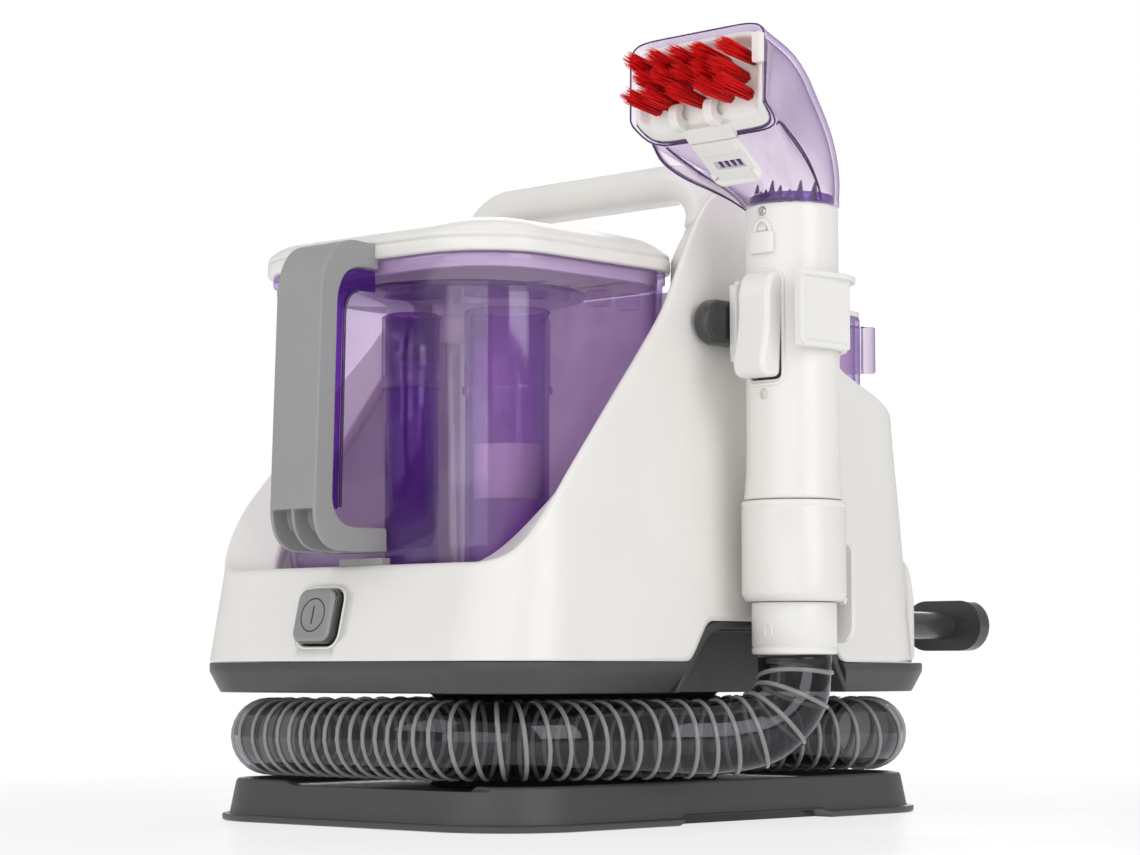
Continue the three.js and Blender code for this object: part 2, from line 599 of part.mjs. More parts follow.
// ---------------------------------------------------------------- rear (clean water) tank
function addRearTank() {
  const { halfX, front, rear, corner: r, bottom, rim } = REAR_TANK;
  const level = (d, z) => ring(-halfX + d, halfX - d, front + d, rear - d, r - d, z);
  add('clean_tank', ringSurface([level(2, bottom), level(0, bottom + 2), level(0, rim), level(TANK_WALL, rim),
    level(TANK_WALL, bottom + 3)]), 'purple');
  const filler = { x: 0, y: 100, hole: 15, cap: 18 };
  const cover = ringSurface([level(4, rim + 4.5), level(0, rim + 3), level(0, rim + GAP)]);
  add('clean_tank_lid', cut(cover, rod(filler.hole, [filler.x, filler.y, rim - 2], [filler.x, filler.y, rim + 9])),
    'white');
  const capZ = rim + 4.5 + GAP;
  add('filler_cap', join(rod(filler.cap, [filler.x, filler.y, capZ], [filler.x, filler.y, capZ + 5], 28),
    box(-6, 6, filler.y + 10, filler.y + filler.cap + 5, capZ, capZ + 3)), 'trim_white');
  add('tank_valve', rod(8, [30, 100, 106.5], [30, 100, bottom - GAP], 20), 'black');

  const loop = { halfX: 50, root: rear + GAP, tip: 187, z: 236, halfZ: 10, halfThick: 4 };
  const path = [[-loop.halfX, loop.root, loop.z]];
  for (let k = 0; k <= 12; k += 1) {
    const angle = (180 - 15 * k) * DEG;
    const reach = Math.sqrt(Math.sin(angle));
    path.push([loop.halfX * Math.cos(angle), 158 + (loop.tip - 158) * reach, loop.z + (k * (12 - k)) / 9]);
  }
  path.push([loop.halfX, loop.root, loop.z]);
  add('clean_tank_handle', bar(path, new THREE.Vector3(0, 0, 1), loop.halfZ, loop.halfThick, 3), 'purple');
}

// ---------------------------------------------------------------- works inside the body
function addWorks() {
  const axis = { x: 0, z: 160 };
  const at = (y) => [axis.x, y, axis.z];
  add('vacuum_motor', join(rod(30, at(3), at(30), 28), rod(40, at(30), at(33.7), 28)), 'steel');
  const fan = { r: 46, wall: 2.5, y0: 34, y1: 56, inlet: 14 };
  add('fan_housing', cut(rod(fan.r, at(fan.y0), at(fan.y1), 32), rod(fan.r - fan.wall, at(fan.y0 - 1),
    at(fan.y1 - fan.wall), 32), rod(fan.inlet, at(fan.y0), at(fan.y1 + 1), 20)), 'black');
  add('impeller', join(rod(40, at(40), at(42), 28), rod(7, at(34), at(50), 16)), 'steel');
  add('pump', join(box(-58, -22, 78, 116, 64, 86), rod(12, [-40, 97, 85], [-40, 97, 100], 20)), 'black');
  add('circuit_board', join(box(14, 62, 76, 122, 66, 67.6), box(20, 36, 84, 100, 67, 80),
    rod(7, [50, 108, 67], [50, 108, 86], 16)), 'board');
  add('suction_duct', tube([[0, -20, 76], [-8, -40, 78], [-22, -62, 84], [-34, -78, 92], [-34, -80, 104]], 11, 12, 12),
    'black');
}

// ---------------------------------------------------------------- wand, clip and nozzle
function addWand() {
  const { x, y, r, bore, bottom, top } = WAND;
  const pin = { y: y - 15, z: 246, r: 1.5, half: 11.5 };
  const slot = box(x - 6.6, x + 6.6, y - 26, y - 12, 203, 252);
  const pinHole = rod(pin.r + GAP, [x - 16, pin.y, pin.z], [x + 16, pin.y, pin.z], 12);
  const barrel = turned([[r, bottom], [r, top - 2], [r - 1, top], [bore, top], [bore, bottom]], x, y, 32);
  add('wand_body', cut(barrel, slot, pinHole), 'white');
  add('wand_cuff', turned([[CUFF.r - 1.5, CUFF.bottom], [CUFF.r, CUFF.bottom + 5], [CUFF.r, CUFF.top - 1],
    [CUFF.r - 1, CUFF.top], [bore, CUFF.top], [bore, CUFF.bottom]], x, y, 32), 'white');
  add('hose_swivel', turned([[SWIVEL.r, SWIVEL.bottom], [SWIVEL.r, SWIVEL.top], [bore - 2, SWIVEL.top],
    [bore - 2, SWIVEL.bottom]], x, y, 28), 'white');

  const lever = new THREE.Shape();
  lever.moveTo(y - 15, 251);
  lever.lineTo(y - 22.5, 251);
  lever.quadraticCurveTo(y - 28, 250, y - 29.5, 240);
  lever.quadraticCurveTo(y - 28.5, 226, y - 33, 212);
  lever.quadraticCurveTo(y - 34, 205, y - 28, 204);
  lever.lineTo(y - 20, 206);
  lever.lineTo(y - 17.5, 236);
  lever.lineTo(y - 12.5, 241);
  lever.lineTo(y - 11.5, 249);
  add('trigger', cut(slabX(lever, x - 6, x + 6), pinHole), 'trim_white');
  add('trigger_pin', rod(pin.r, [x - pin.half, pin.y, pin.z], [x + pin.half, pin.y, pin.z], 12), 'steel');
  const valve = { y: y + 3, r: 6, z0: 212, z1: 236 };
  add('spray_valve', rod(valve.r, [x, valve.y, valve.z0], [x, valve.y, valve.z1], 16), 'black');
  const spring = { r: 3, bore: 2, z: 232, y0: y - 16, y1: valve.y - valve.r - GAP };
  add('trigger_spring', cut(rod(spring.r, [x, spring.y0, spring.z], [x, spring.y1, spring.z], 14),
    rod(spring.bore, [x, spring.y0 - 1, spring.z], [x, spring.y1 + 1, spring.z], 14)), 'steel');
  add('nozzle_catch', box(x - 4, x + 4, y - r - 3, y - r - GAP, 262, 275), 'trim_white');

  addClip();
  addNozzle();
}

function addClip() {
  const { x, y, r } = WAND;
  const inner = r + GAP;
  const wall = 3.2;
  const reach = { left: y - 12, right: y - 26 };
  const [bottom, top] = [215.5, 250];
  const band = (outer) => {
    const bow = new THREE.Shape();
    bow.moveTo(x + inner, reach.right);
    bow.lineTo(x + inner + outer, reach.right);
    bow.absarc(x, y, inner + outer, 0, Math.PI, false);
    bow.lineTo(x - inner - outer, reach.left);
    bow.lineTo(x - inner, reach.left);
    bow.absarc(x, y, inner, Math.PI, 0, true);
    return bow;
  };
  const face = box(x + inner + wall - 0.5, x + inner + wall + 1.2, reach.right, y + 8, bottom, top);
  const bow = slabZ(band(wall), bottom, top, 12);
  const rim = cut(slabZ(band(wall + 3.5), top - 2.5, top, 12), box(90, x, -60, 60, top - 4, top + 1));
  add('wand_clip', join(bow, face, rim), 'trim_white');
  const wallX = housingHalfX(220) + GAP;
  const hook = slabX(stadium(-30, 12, 220, 241), 100.4, 108.2, 8);
  const stem = slabX(stadium(-21, 3, 225, 236), wallX, 101, 8);
  add('side_hook', join(hook, stem), 'dark_grey');
  const saddle = { x0: housingHalfX(82) + GAP, x1: 148, y0: y + CUFF.r + 0.8, thick: 3, z0: 82, z1: 128 };
  const plate = box(saddle.x0, saddle.x1, saddle.y0, saddle.y0 + saddle.thick, saddle.z0, saddle.z1);
  const hole = rod(2.2, [saddle.x1 - 5, y, 102], [saddle.x1 - 5, y + 60, 102], 12);
  add('lower_bracket', cut(plate, hole), 'trim_white');
}

// Sections of the nozzle from its neck to its mouth: the lower and upper points in the Y-Z plane,
// the half width, how square the section is, and how far its front is bent out of the straight.
const NOZZLE_SECTIONS = [
  { low: [-20.5, 283.3], high: [23.5, 283.3], half: 22, square: 2, bend: 0 },
  { low: [-24.3, 286.3], high: [20, 298], half: 23.5, square: 2.5, bend: 0 },
  { low: [-30.6, 291.2], high: [8.5, 315], half: 26.5, square: 3.5, bend: 0.5 },
  { low: [-38.1, 297.1], high: [-13.5, 333], half: 31.5, square: 5, bend: 3 },
  { low: [-45.7, 303.1], high: [-35.5, 346], half: 36.5, square: 7, bend: 7 },
  { low: [-52, 308], high: [-64.5, 354.5], half: 39.7, square: 8, bend: 10.8 },
];
const CHIN = 0.215;                   // share of a section's height at which its bend is greatest

function nozzleRing({ low, high, half, square, bend }, wall) {
  const sides = 28;
  const points = [];
  const deep = Math.hypot(high[0] - low[0], high[1] - low[1]) / 2;
  for (let k = 0; k < sides; k += 1) {
    const angle = (2 * Math.PI * (k + 0.5)) / sides;
    const [c, s] = [Math.cos(angle), Math.sin(angle)];
    const size = (Math.abs(c) ** square + Math.abs(s) ** square) ** (-1 / square);
    const share = (1 + s * size * (1 - wall / deep)) / 2;
    const out = share < CHIN ? share / CHIN : (1 - share) / (1 - CHIN);
    points.push([WAND.x + c * size * (half - wall), low[0] + share * (high[0] - low[0]) - bend * out,
      low[1] + share * (high[1] - low[1])]);
  }
  return points;
}

function addNozzle() {
  const { x } = WAND;
  const outside = NOZZLE_SECTIONS.map((section) => nozzleRing(section, 0));
  const inside = NOZZLE_SECTIONS.map((section) => nozzleRing(section, 2.2)).reverse();
  add('nozzle_head', ringSurface([...outside, ...inside], true), 'purple');

  const insert = { half: 33.5, front: -61, back: -52, chin: 321, low: 315, top: 345 };
  const profile = outline([[insert.front, insert.chin], [insert.front, insert.top], [insert.back, insert.top],
    [insert.back, insert.low]]);
  add('brush_insert', slabX(profile, x - insert.half, x + insert.half), 'trim_white');
  const tufts = [];
  const tilt = 9.5 * DEG;
  const rows = [[-27, -16.5, -1, 15, 26.5], [-20, -9.5, 2, 13, 23.5], [-25, -12.5, 0, 13, 28]];
  rows.forEach((places, row) => {
    for (const place of places) {
      const start = [x + place, insert.front - 1.5, 323.5 + 8 * row];
      const tip = [start[0], start[1] - 24 * Math.cos(tilt), start[2] + 24 * Math.sin(tilt)];
      tufts.push(rod(2.8, start, tip, 8));
    }
  });
  const pad = box(x - 31.5, x + 31.5, insert.front - 2, insert.front - GAP, 320.6, 343);
  add('bristle_pad', join(pad, ...tufts), 'red');

  const latch = new THREE.Group();
  const slope = Math.atan2(NOZZLE_SECTIONS[0].low[1] - 308, 31.5);
  latch.position.set(x, -52, 308);
  latch.rotation.x = slope;
  group.add(latch);
  add('nozzle_latch', cut(box(-13.5, 13.5, -1, 25, -2.8, -0.4), box(-8.5, 8.5, 11, 16, -5, 5)), 'trim_white', latch);
}

addBase();
add('hose', tube(HOSE_ROUTE, HOSE_R, 8, 72), 'clear');
addChassis();
addHousing();
addFrontTank();
addRearTank();
addWorks();
addWand();

export default group;
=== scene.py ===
import math
import random

import bmesh
import bpy
import numpy as np
from mathutils import Matrix, Vector


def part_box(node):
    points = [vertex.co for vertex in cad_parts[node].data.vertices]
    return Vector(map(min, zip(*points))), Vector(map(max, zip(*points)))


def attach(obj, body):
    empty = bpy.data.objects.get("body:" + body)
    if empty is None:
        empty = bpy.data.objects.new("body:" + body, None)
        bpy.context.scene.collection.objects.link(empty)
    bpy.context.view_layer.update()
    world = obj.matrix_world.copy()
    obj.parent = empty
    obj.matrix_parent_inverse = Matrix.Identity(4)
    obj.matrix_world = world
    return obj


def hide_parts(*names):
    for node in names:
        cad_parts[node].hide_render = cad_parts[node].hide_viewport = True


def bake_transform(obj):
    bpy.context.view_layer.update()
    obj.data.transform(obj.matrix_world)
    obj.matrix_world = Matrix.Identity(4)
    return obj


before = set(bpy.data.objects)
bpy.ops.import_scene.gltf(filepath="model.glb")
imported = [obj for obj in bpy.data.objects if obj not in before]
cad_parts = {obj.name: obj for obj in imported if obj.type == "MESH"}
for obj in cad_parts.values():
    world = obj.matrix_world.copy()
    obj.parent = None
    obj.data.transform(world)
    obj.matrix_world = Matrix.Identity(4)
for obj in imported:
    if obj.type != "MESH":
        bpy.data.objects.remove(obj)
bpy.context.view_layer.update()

# Sizes are in millimetres, in the frame of the CAD model: +Z up, -Y front, +X the wand side.
MM = 0.001
UP = Vector((0, 0, 1))


def node_box(name):
    low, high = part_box(name)
    return low / MM, high / MM


# ------------------------------------------------------------------ camera, floor and light
PHOTO_WIDTH = 1140
FOCAL_PIXELS = 2900
CAMERA_PLACE = (965.8, -1041.3, 69.0)
CAMERA_TILT = 4.819
CAMERA_TURN = 43.0


def add_camera():
    data = bpy.data.cameras.new("camera")
    data.sensor_width = 36.0
    data.lens = data.sensor_width * FOCAL_PIXELS / PHOTO_WIDTH
    data.clip_start = 0.01
    camera = bpy.data.objects.new("camera", data)
    camera.location = Vector(CAMERA_PLACE) * MM
    camera.rotation_euler = (math.radians(90 + CAMERA_TILT), 0, math.radians(CAMERA_TURN))
    bpy.context.scene.collection.objects.link(camera)
    bpy.context.scene.camera = camera


def area_light(name, place, target, size, power):
    data = bpy.data.lights.new(name, "AREA")
    data.shape = "RECTANGLE"
    data.size, data.size_y = size
    data.energy = power
    light = bpy.data.objects.new(name, data)
    light.location = place
    light.rotation_euler = (Vector(target) - Vector(place)).to_track_quat("-Z", "Y").to_euler()
    bpy.context.scene.collection.objects.link(light)


def add_lights():
    middle = (0.0, 0.0, 0.16)
    area_light("key_light", (-0.55, -1.25, 1.05), middle, (0.9, 0.9), 3.9)
    area_light("side_light", (1.5, -0.15, 0.75), middle, (0.8, 1.1), 7.6)
    area_light("top_light", (0.0, 0.2, 1.5), middle, (1.2, 1.2), 4.0)
    area_light("rear_light", (-0.9, 1.1, 0.7), middle, (0.9, 0.9), 8)
    area_light("low_fill", (0.5, -1.45, 0.28), middle, (1.5, 0.9), 6.0)


WORLD_LIGHT, WORLD_SEEN = 0.5, 1.0


def add_world():
    """White surroundings that light the machine more dimly than the camera sees them."""
    world = bpy.data.worlds.new("studio")
    bpy.context.scene.world = world
    world.use_nodes = True
    tree = world.node_tree
    background = tree.nodes["Background"]
    background.inputs["Color"].default_value = (1, 1, 1, 1)
    seen = tree.nodes.new("ShaderNodeLightPath")
    strength = tree.nodes.new("ShaderNodeMix")
    strength.data_type = "FLOAT"
    strength.inputs["A"].default_value = WORLD_LIGHT
    strength.inputs["B"].default_value = WORLD_SEEN
    tree.links.new(seen.outputs["Is Camera Ray"], strength.inputs["Factor"])
    tree.links.new(strength.outputs["Result"], background.inputs["Strength"])


# ------------------------------------------------------------------ materials
class Recipe:
    """A material's node tree with a Principled shader, and short calls that add to it."""

    def __init__(self, name):
        self.material = bpy.data.materials.new(name)
        self.material.use_nodes = True
        self.tree = self.material.node_tree
        self.shader = self.tree.nodes["Principled BSDF"]

    def give(self, target, value):
        """Sets an input, or links it when the value is another node's output."""
        if isinstance(value, bpy.types.NodeSocket):
            self.tree.links.new(value, target)
        else:
            target.default_value = (*value, 1) if isinstance(value, tuple) else value

    def fill(self, node, **inputs):
        for key, value in inputs.items():
            self.give(node.inputs[key.replace("_", " ")], value)
        return node

    def node(self, kind, **inputs):
        return self.fill(self.tree.nodes.new(kind), **inputs)

    def place(self):
        return self.node("ShaderNodeTexCoord").outputs["Object"]

    def noise(self, scale, detail=3.0, roughness=0.55):
        made = self.node("ShaderNodeTexNoise", Scale=scale, Detail=detail, Roughness=roughness)
        return self.fill(made, Vector=self.place()).outputs["Fac"]

    def spread(self, value, low, high, start=0.3, end=0.7):
        made = self.node("ShaderNodeMapRange", From_Min=start, From_Max=end, To_Min=low, To_Max=high)
        return self.fill(made, Value=value).outputs["Result"]

    def maths(self, operation, value, other):
        made = self.node("ShaderNodeMath")
        made.operation = operation
        made.use_clamp = True
        self.give(made.inputs[0], value)
        self.give(made.inputs[1], other)
        return made.outputs[0]

    def blend_colour(self, value, low, high):
        made = self.node("ShaderNodeMix")
        made.data_type = "RGBA"
        return self.fill(made, Factor=value, A=low, B=high).outputs["Result"]

    def mix_shaders(self, share, first, second):
        made = self.node("ShaderNodeMixShader", Fac=share)
        self.give(made.inputs[1], first.outputs[0])
        self.give(made.inputs[2], second.outputs[0])
        return made

    def bump(self, height, strength, distance, **after):
        made = self.node("ShaderNodeBump", Strength=strength, Distance=distance, Height=height, **after)
        self.fill(self.shader, Normal=made.outputs["Normal"])
        return made.outputs["Normal"]

    def shown(self, shader):
        self.fill(self.tree.nodes["Material Output"], Surface=shader.outputs[0])
        return self.material


def shade(colour, factor):
    return tuple(min(c * factor, 1) for c in colour)


def moulded(name, colour, roughness=0.35, grain=0.0, grain_scale=1800, coat=0.0):
    """A moulded plastic: slow colour and gloss variation, a faint orange peel, and a grain if asked."""
    m = Recipe(name)
    slow = m.spread(m.noise(14, 4), 0, 1)
    m.fill(m.shader, Base_Color=m.blend_colour(slow, shade(colour, 0.975), shade(colour, 1.02)),
           Roughness=m.spread(m.noise(90, 3), roughness - 0.04, roughness + 0.05),
           Coat_Weight=coat, Coat_Roughness=0.12)
    peel = m.bump(m.noise(260, 2), 0.05, 0.0004)
    if grain:
        m.bump(m.noise(grain_scale, 2, 0.7), grain, 0.0005, Normal=peel)
    return m.material


# Light on its way into a clear piece keeps this share of its strength, so a closed tank isn't dark inside.
ENTRY = 0.97
ENTRY_TINT, MIRROR_TINT = (1, 0.97, 1), (0.95, 0.93, 1.0)
# The mirror share grows from MIRROR_BASE, seen face on, to MIRROR_RISE more, seen edge on.
MIRROR_BASE, MIRROR_RISE, MIRROR_POWER = 0.04, 0.85, 4.5


def clear_plastic(name, facing, edge, body, gloss=0.05, body_share=0.04, sharpness=2.6):
    """Tinted clear plastic: light passes with a tint that deepens where the wall is seen edge on."""
    m = Recipe(name)
    weight = m.node("ShaderNodeLayerWeight", Blend=0.5).outputs["Facing"]
    streaks = m.spread(m.noise(22, 2), -0.03, 0.04)
    rim = m.maths("ADD", m.maths("POWER", weight, sharpness), streaks)
    path = m.node("ShaderNodeLightPath").outputs
    unseen = m.maths("MAXIMUM", path["Is Shadow Ray"], path["Is Diffuse Ray"])
    seen = m.blend_colour(rim, facing, edge)
    tint = m.blend_colour(m.maths("MULTIPLY", unseen, ENTRY), seen, ENTRY_TINT)
    through = m.node("ShaderNodeBsdfTransparent", Color=tint)
    m.fill(m.shader, Base_Color=body, Roughness=m.spread(m.noise(60, 2), gloss, gloss + 0.05))
    inner = m.mix_shaders(body_share, through, m.shader)
    rise = m.maths("MULTIPLY", m.maths("POWER", weight, MIRROR_POWER), MIRROR_RISE)
    mirror = m.node("ShaderNodeBsdfGlossy", Roughness=gloss, Color=MIRROR_TINT)
    return m.shown(m.mix_shaders(m.maths("ADD", rise, MIRROR_BASE), inner, mirror))


def brushed_metal(name, colour, roughness=0.3):
    m = Recipe(name)
    m.fill(m.shader, Metallic=1.0, Base_Color=m.blend_colour(m.noise(120, 3), shade(colour, 0.9), colour),
           Roughness=m.spread(m.noise(700, 2), roughness - 0.08, roughness + 0.1))
    return m.material


def bristle_material():
    m = Recipe("red_bristle")
    fine = m.spread(m.noise(900, 2), 0, 1)
    m.fill(m.shader, Base_Color=m.blend_colour(fine, (0.56, 0.002, 0.002), (0.86, 0.008, 0.010)),
           Roughness=0.5, Specular_IOR_Level=0.2)
    return m.material


def floor_material(radius):
    """A pale glossy floor near the machine that brightens into the white surroundings."""
    m = Recipe("pale_floor")
    near_glow = 0.75
    m.fill(m.shader, Base_Color=(0.93, 0.93, 0.93), Roughness=m.spread(m.noise(8, 3), 0.16, 0.24),
           Specular_IOR_Level=0.35)
    length = m.node("ShaderNodeVectorMath")
    length.operation = "LENGTH"
    m.give(length.inputs[0], m.place())
    share = m.spread(length.outputs["Value"], near_glow, 1, radius, 2.6 * radius)
    return m.shown(m.mix_shaders(share, m.shader, m.node("ShaderNodeEmission", Strength=1.0)))


WHITE = moulded("white_shell", (0.78, 0.765, 0.735), 0.34, coat=0.12)
# A whiter copy of the white plastic for the parts inside the tanks: painted light, which brightens the tank
# interior that the lamps barely reach.
PAINTED_LIGHT_WHITE = moulded("white_inner_painted_light", (0.93, 0.91, 0.93), 0.42)
TRIM = moulded("white_trim", (0.79, 0.78, 0.755), 0.38)
GREY = moulded("handle_grey", (0.29, 0.29, 0.29), 0.48, grain=0.10, grain_scale=2600)
BUTTON_GREY = moulded("button_grey", (0.25, 0.25, 0.255), 0.30, grain=0.03, coat=0.25)
BUTTON_SIDE = moulded("button_side", (0.035, 0.035, 0.037), 0.16, coat=0.5)
CHASSIS_GREY = moulded("chassis_grey", (0.052, 0.052, 0.053), 0.38, grain=0.45, grain_scale=1500)
BLACK = moulded("black_plastic", (0.016, 0.016, 0.017), 0.38)
HOOK_GREY = moulded("hook_grey", (0.045, 0.045, 0.047), 0.30, coat=0.15)
RUBBER = moulded("rubber", (0.022, 0.022, 0.022), 0.8, grain=0.3)
STEEL = brushed_metal("steel", (0.58, 0.585, 0.6))
BOARD = moulded("board_green", (0.015, 0.11, 0.045), 0.4)
PURPLE = clear_plastic("purple_clear", (0.962, 0.92, 0.974),
                       (0.22, 0.05, 0.48), (0.50, 0.22, 0.80), body_share=0.03)
MID_PURPLE = clear_plastic("purple_mid", (0.84, 0.70, 0.92),
                           (0.14, 0.02, 0.42), (0.30, 0.08, 0.62), body_share=0.04)
TUBE_PURPLE = clear_plastic("purple_tube", (0.64, 0.38, 0.84),
                            (0.07, 0.006, 0.30), (0.22, 0.04, 0.52), body_share=0.06)
DEEP_PURPLE = clear_plastic("purple_deep", (0.46, 0.22, 0.70),
                            (0.05, 0.005, 0.18), (0.16, 0.03, 0.42), body_share=0.15)
LILAC = clear_plastic("purple_light", (0.985, 0.965, 0.985),
                      (0.26, 0.09, 0.40), (0.45, 0.25, 0.58), body_share=0.03)
PURPLE_RIM = clear_plastic("purple_rim", (0.22, 0.09, 0.30),
                           (0.03, 0.006, 0.06), (0.08, 0.015, 0.14), body_share=0.4)
HOSE_CLEAR = clear_plastic("hose_clear", (0.38, 0.38, 0.385),
                           (0.03, 0.03, 0.03), (0.03, 0.03, 0.03), 0.05, 0.04, 1.6)
HOSE_RIB = clear_plastic("hose_rib", (0.50, 0.50, 0.50),
                         (0.02, 0.02, 0.02), (0.72, 0.72, 0.72), 0.06, 0.30, 1.2)
SEAL = moulded("seal_silicone", (0.62, 0.54, 0.66), 0.5)
RED = bristle_material()


# ------------------------------------------------------------------ mesh tools
def object_from(name, points, faces, material, body):
    """A smooth mesh with outward faces, on its body; a piece with no body is a cutting tool."""
    mesh = bpy.data.meshes.new(name)
    mesh.from_pydata([tuple(Vector(p) * MM) for p in points], [], faces)
    mesh.validate()
    bm = bmesh.new()
    bm.from_mesh(mesh)
    bmesh.ops.remove_doubles(bm, verts=bm.verts, dist=1e-7)
    bmesh.ops.recalc_face_normals(bm, faces=bm.faces)
    bm.to_mesh(mesh)
    bm.free()
    piece = bpy.data.objects.new(name, mesh)
    bpy.context.scene.collection.objects.link(piece)
    piece.data.materials.append(material)
    mesh.shade_smooth()
    if body:
        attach(piece, body)
    return piece


def round_edges(piece, width, segments=3, angle=32):
    bevel = piece.modifiers.new("bevel", "BEVEL")
    bevel.width = width * MM
    bevel.segments = segments
    bevel.limit_method = "ANGLE"
    bevel.angle_limit = math.radians(angle)
    bevel.use_clamp_overlap = True
    normals = piece.modifiers.new("normals", "WEIGHTED_NORMAL")
    normals.keep_sharp = True
    return piece


def ring_faces(rows, count, closed_rows):
    faces = []
    for i in range(rows if closed_rows else rows - 1):
        a = i * count
        b = ((i + 1) % rows) * count
        for j in range(count):
            k = (j + 1) % count
            faces.append((a + j, a + k, b + k, b + j))
    if not closed_rows:
        faces.append(tuple(reversed(range(count))))
        faces.append(tuple(range((rows - 1) * count, rows * count)))
    return faces


def rings(name, sections, material, body, closed_rows=False):
    """A skin through rings of equally many points, capped, or closed on itself."""
    points = [p for section in sections for p in section]
    faces = ring_faces(len(sections), len(sections[0]), closed_rows)
    return object_from(name, points, faces, material, body)


def stack(name, level, steps, material, body):
    """A skin through the rings that level makes from each step, which is most often (inset, height)."""
    return rings(name, [level(*step) for step in steps], material, body)


def round_ring(x0, x1, y0, y1, radius, z, steps=10, bulge=0.0, sides=8):
    """A rounded rectangle at height z; bulge bows its front side outward."""
    corners = [(x1, y0, -90), (x1, y1, 0), (x0, y1, 90), (x0, y0, 180)]
    points = []
    for x, y, start in corners:
        cx = x - radius if x == x1 else x + radius
        cy = y + radius if y == y0 else y - radius
        for k in range(steps + 1):
            angle = math.radians(start + 90 * k / steps)
            points.append((cx + radius * math.cos(angle), cy + radius * math.sin(angle), z))
    for k in range(1, sides):
        x = x0 + radius + (x1 - x0 - 2 * radius) * k / sides
        points.append((x, y0, z))
    if bulge:
        mid, half = (x0 + x1) / 2, (x1 - x0) / 2
        depth = [max(0.0, 1 - (y - y0) / radius) for _, y, _ in points]
        points = [(x, y - bulge * (1 - ((x - mid) / half) ** 2) * d, z)
                  for (x, y, z), d in zip(points, depth)]
    return points


def between(a, b, start, end, t):
    return (end - t) / (end - start) * a + (t - start) / (end - start) * b


def curve_through(points, count):
    """count + 1 points at even steps along a centripetal Catmull-Rom curve through the given points."""
    p = [np.array(q, float) for q in points]
    p = [2 * p[0] - p[1]] + p + [2 * p[-1] - p[-2]]
    dense = []
    for i in range(1, len(p) - 2):
        knots = [0.0]
        for a, b in zip(p[i - 1:i + 2], p[i:i + 3]):
            knots.append(knots[-1] + max(np.linalg.norm(b - a), 1e-9) ** 0.5)
        for t in np.linspace(knots[1], knots[2], 24, endpoint=False):
            row = p[i - 1:i + 3]
            for spans in (((0, 1), (1, 2), (2, 3)), ((0, 2), (1, 3)), ((1, 2),)):
                row = [between(a, b, knots[j], knots[k], t) for (j, k), a, b in zip(spans, row, row[1:])]
            dense.append(row[0])
    dense.append(p[-2])
    dense = np.array(dense)
    run = np.concatenate([[0], np.cumsum(np.linalg.norm(np.diff(dense, axis=0), axis=1))])
    even = np.linspace(0, run[-1], count + 1)
    return np.stack([np.interp(even, run, dense[:, k]) for k in range(dense.shape[1])], 1), run[-1]


def heading(points, i):
    """The direction of a run of points at its point i."""
    before, after = points[max(i - 1, 0)], points[min(i + 1, len(points) - 1)]
    return Vector(np.subtract(after, before)).normalized()


def frames_along(path):
    """Tangent and two normals at each point of a path, turned as little as possible."""
    tangents = np.gradient(path, axis=0)
    tangents /= np.linalg.norm(tangents, axis=1)[:, None]
    side = np.cross(tangents[0], (0, 0, 1.0))
    if np.linalg.norm(side) < 1e-3:
        side = np.array([1.0, 0, 0])
    sides = []
    for t in tangents:
        side = side - t * np.dot(side, t)
        side /= np.linalg.norm(side)
        sides.append(side)
    sides = np.array(sides)
    return tangents, sides, np.cross(tangents, sides)


def tube_points(path, radius, count):
    radii = np.broadcast_to(np.asarray(radius, float), (len(path),))
    _, u, v = frames_along(path)
    angles = np.linspace(0, 2 * math.pi, count, endpoint=False)
    return [[tuple(p + r * (math.cos(a) * m + math.sin(a) * n)) for a in angles]
            for p, m, n, r in zip(path, u, v, radii)]


def even_turns(count):
    return [2 * math.pi * k / count for k in range(count)]


def turned(name, profile, x, y, material, body, sides=64):
    """A solid of revolution about a vertical axis; the profile closes on itself."""
    turns = even_turns(sides)
    sections = [[(x + r * math.cos(a), y + r * math.sin(a), z) for a in turns] for r, z in profile]
    return rings(name, sections, material, body, closed_rows=True)


ALONG = {"X": lambda u, v, w: (w, u, v), "Y": lambda u, v, w: (u, w, v), "Z": lambda u, v, w: (u, v, w)}


def prism(name, axis, outline, start, end, material, body):
    """A flat outline given a thickness along X, Y or Z."""
    sections = [[ALONG[axis](u, v, w) for u, v in outline] for w in (start, end)]
    return rings(name, sections, material, body)


def tool(axis, outline, start, end):
    """A prism that is only there to be cut out of another piece."""
    return prism("tool", axis, outline, start, end, WHITE, None)


def seated(matrix, levels):
    """Sections of a solid whose outlines are given in a seat's own frame as (outline, height)."""
    return [[tuple(matrix @ Vector((u, v, w))) for u, v in outline] for outline, w in levels]


def seated_prism(name, seat, outline, start, end, material, body):
    return rings(name, seated(seat, [(outline, start), (outline, end)]), material, body)


def seated_tool(seat, outline, start, end):
    return seated_prism("tool", seat, outline, start, end, WHITE, None)


def arc(cx, cy, radius, start, end, steps=8):
    angles = np.radians(np.linspace(start, end, steps + 1))
    return [(cx + radius * math.cos(a), cy + radius * math.sin(a)) for a in angles]


def circle(cx, cy, radius, sides=24):
    return arc(cx, cy, radius, 0, 360 - 360 / sides, sides - 1)


def box(u0, u1, v0, v1):
    return [(u0, v0), (u1, v0), (u1, v1), (u0, v1)]


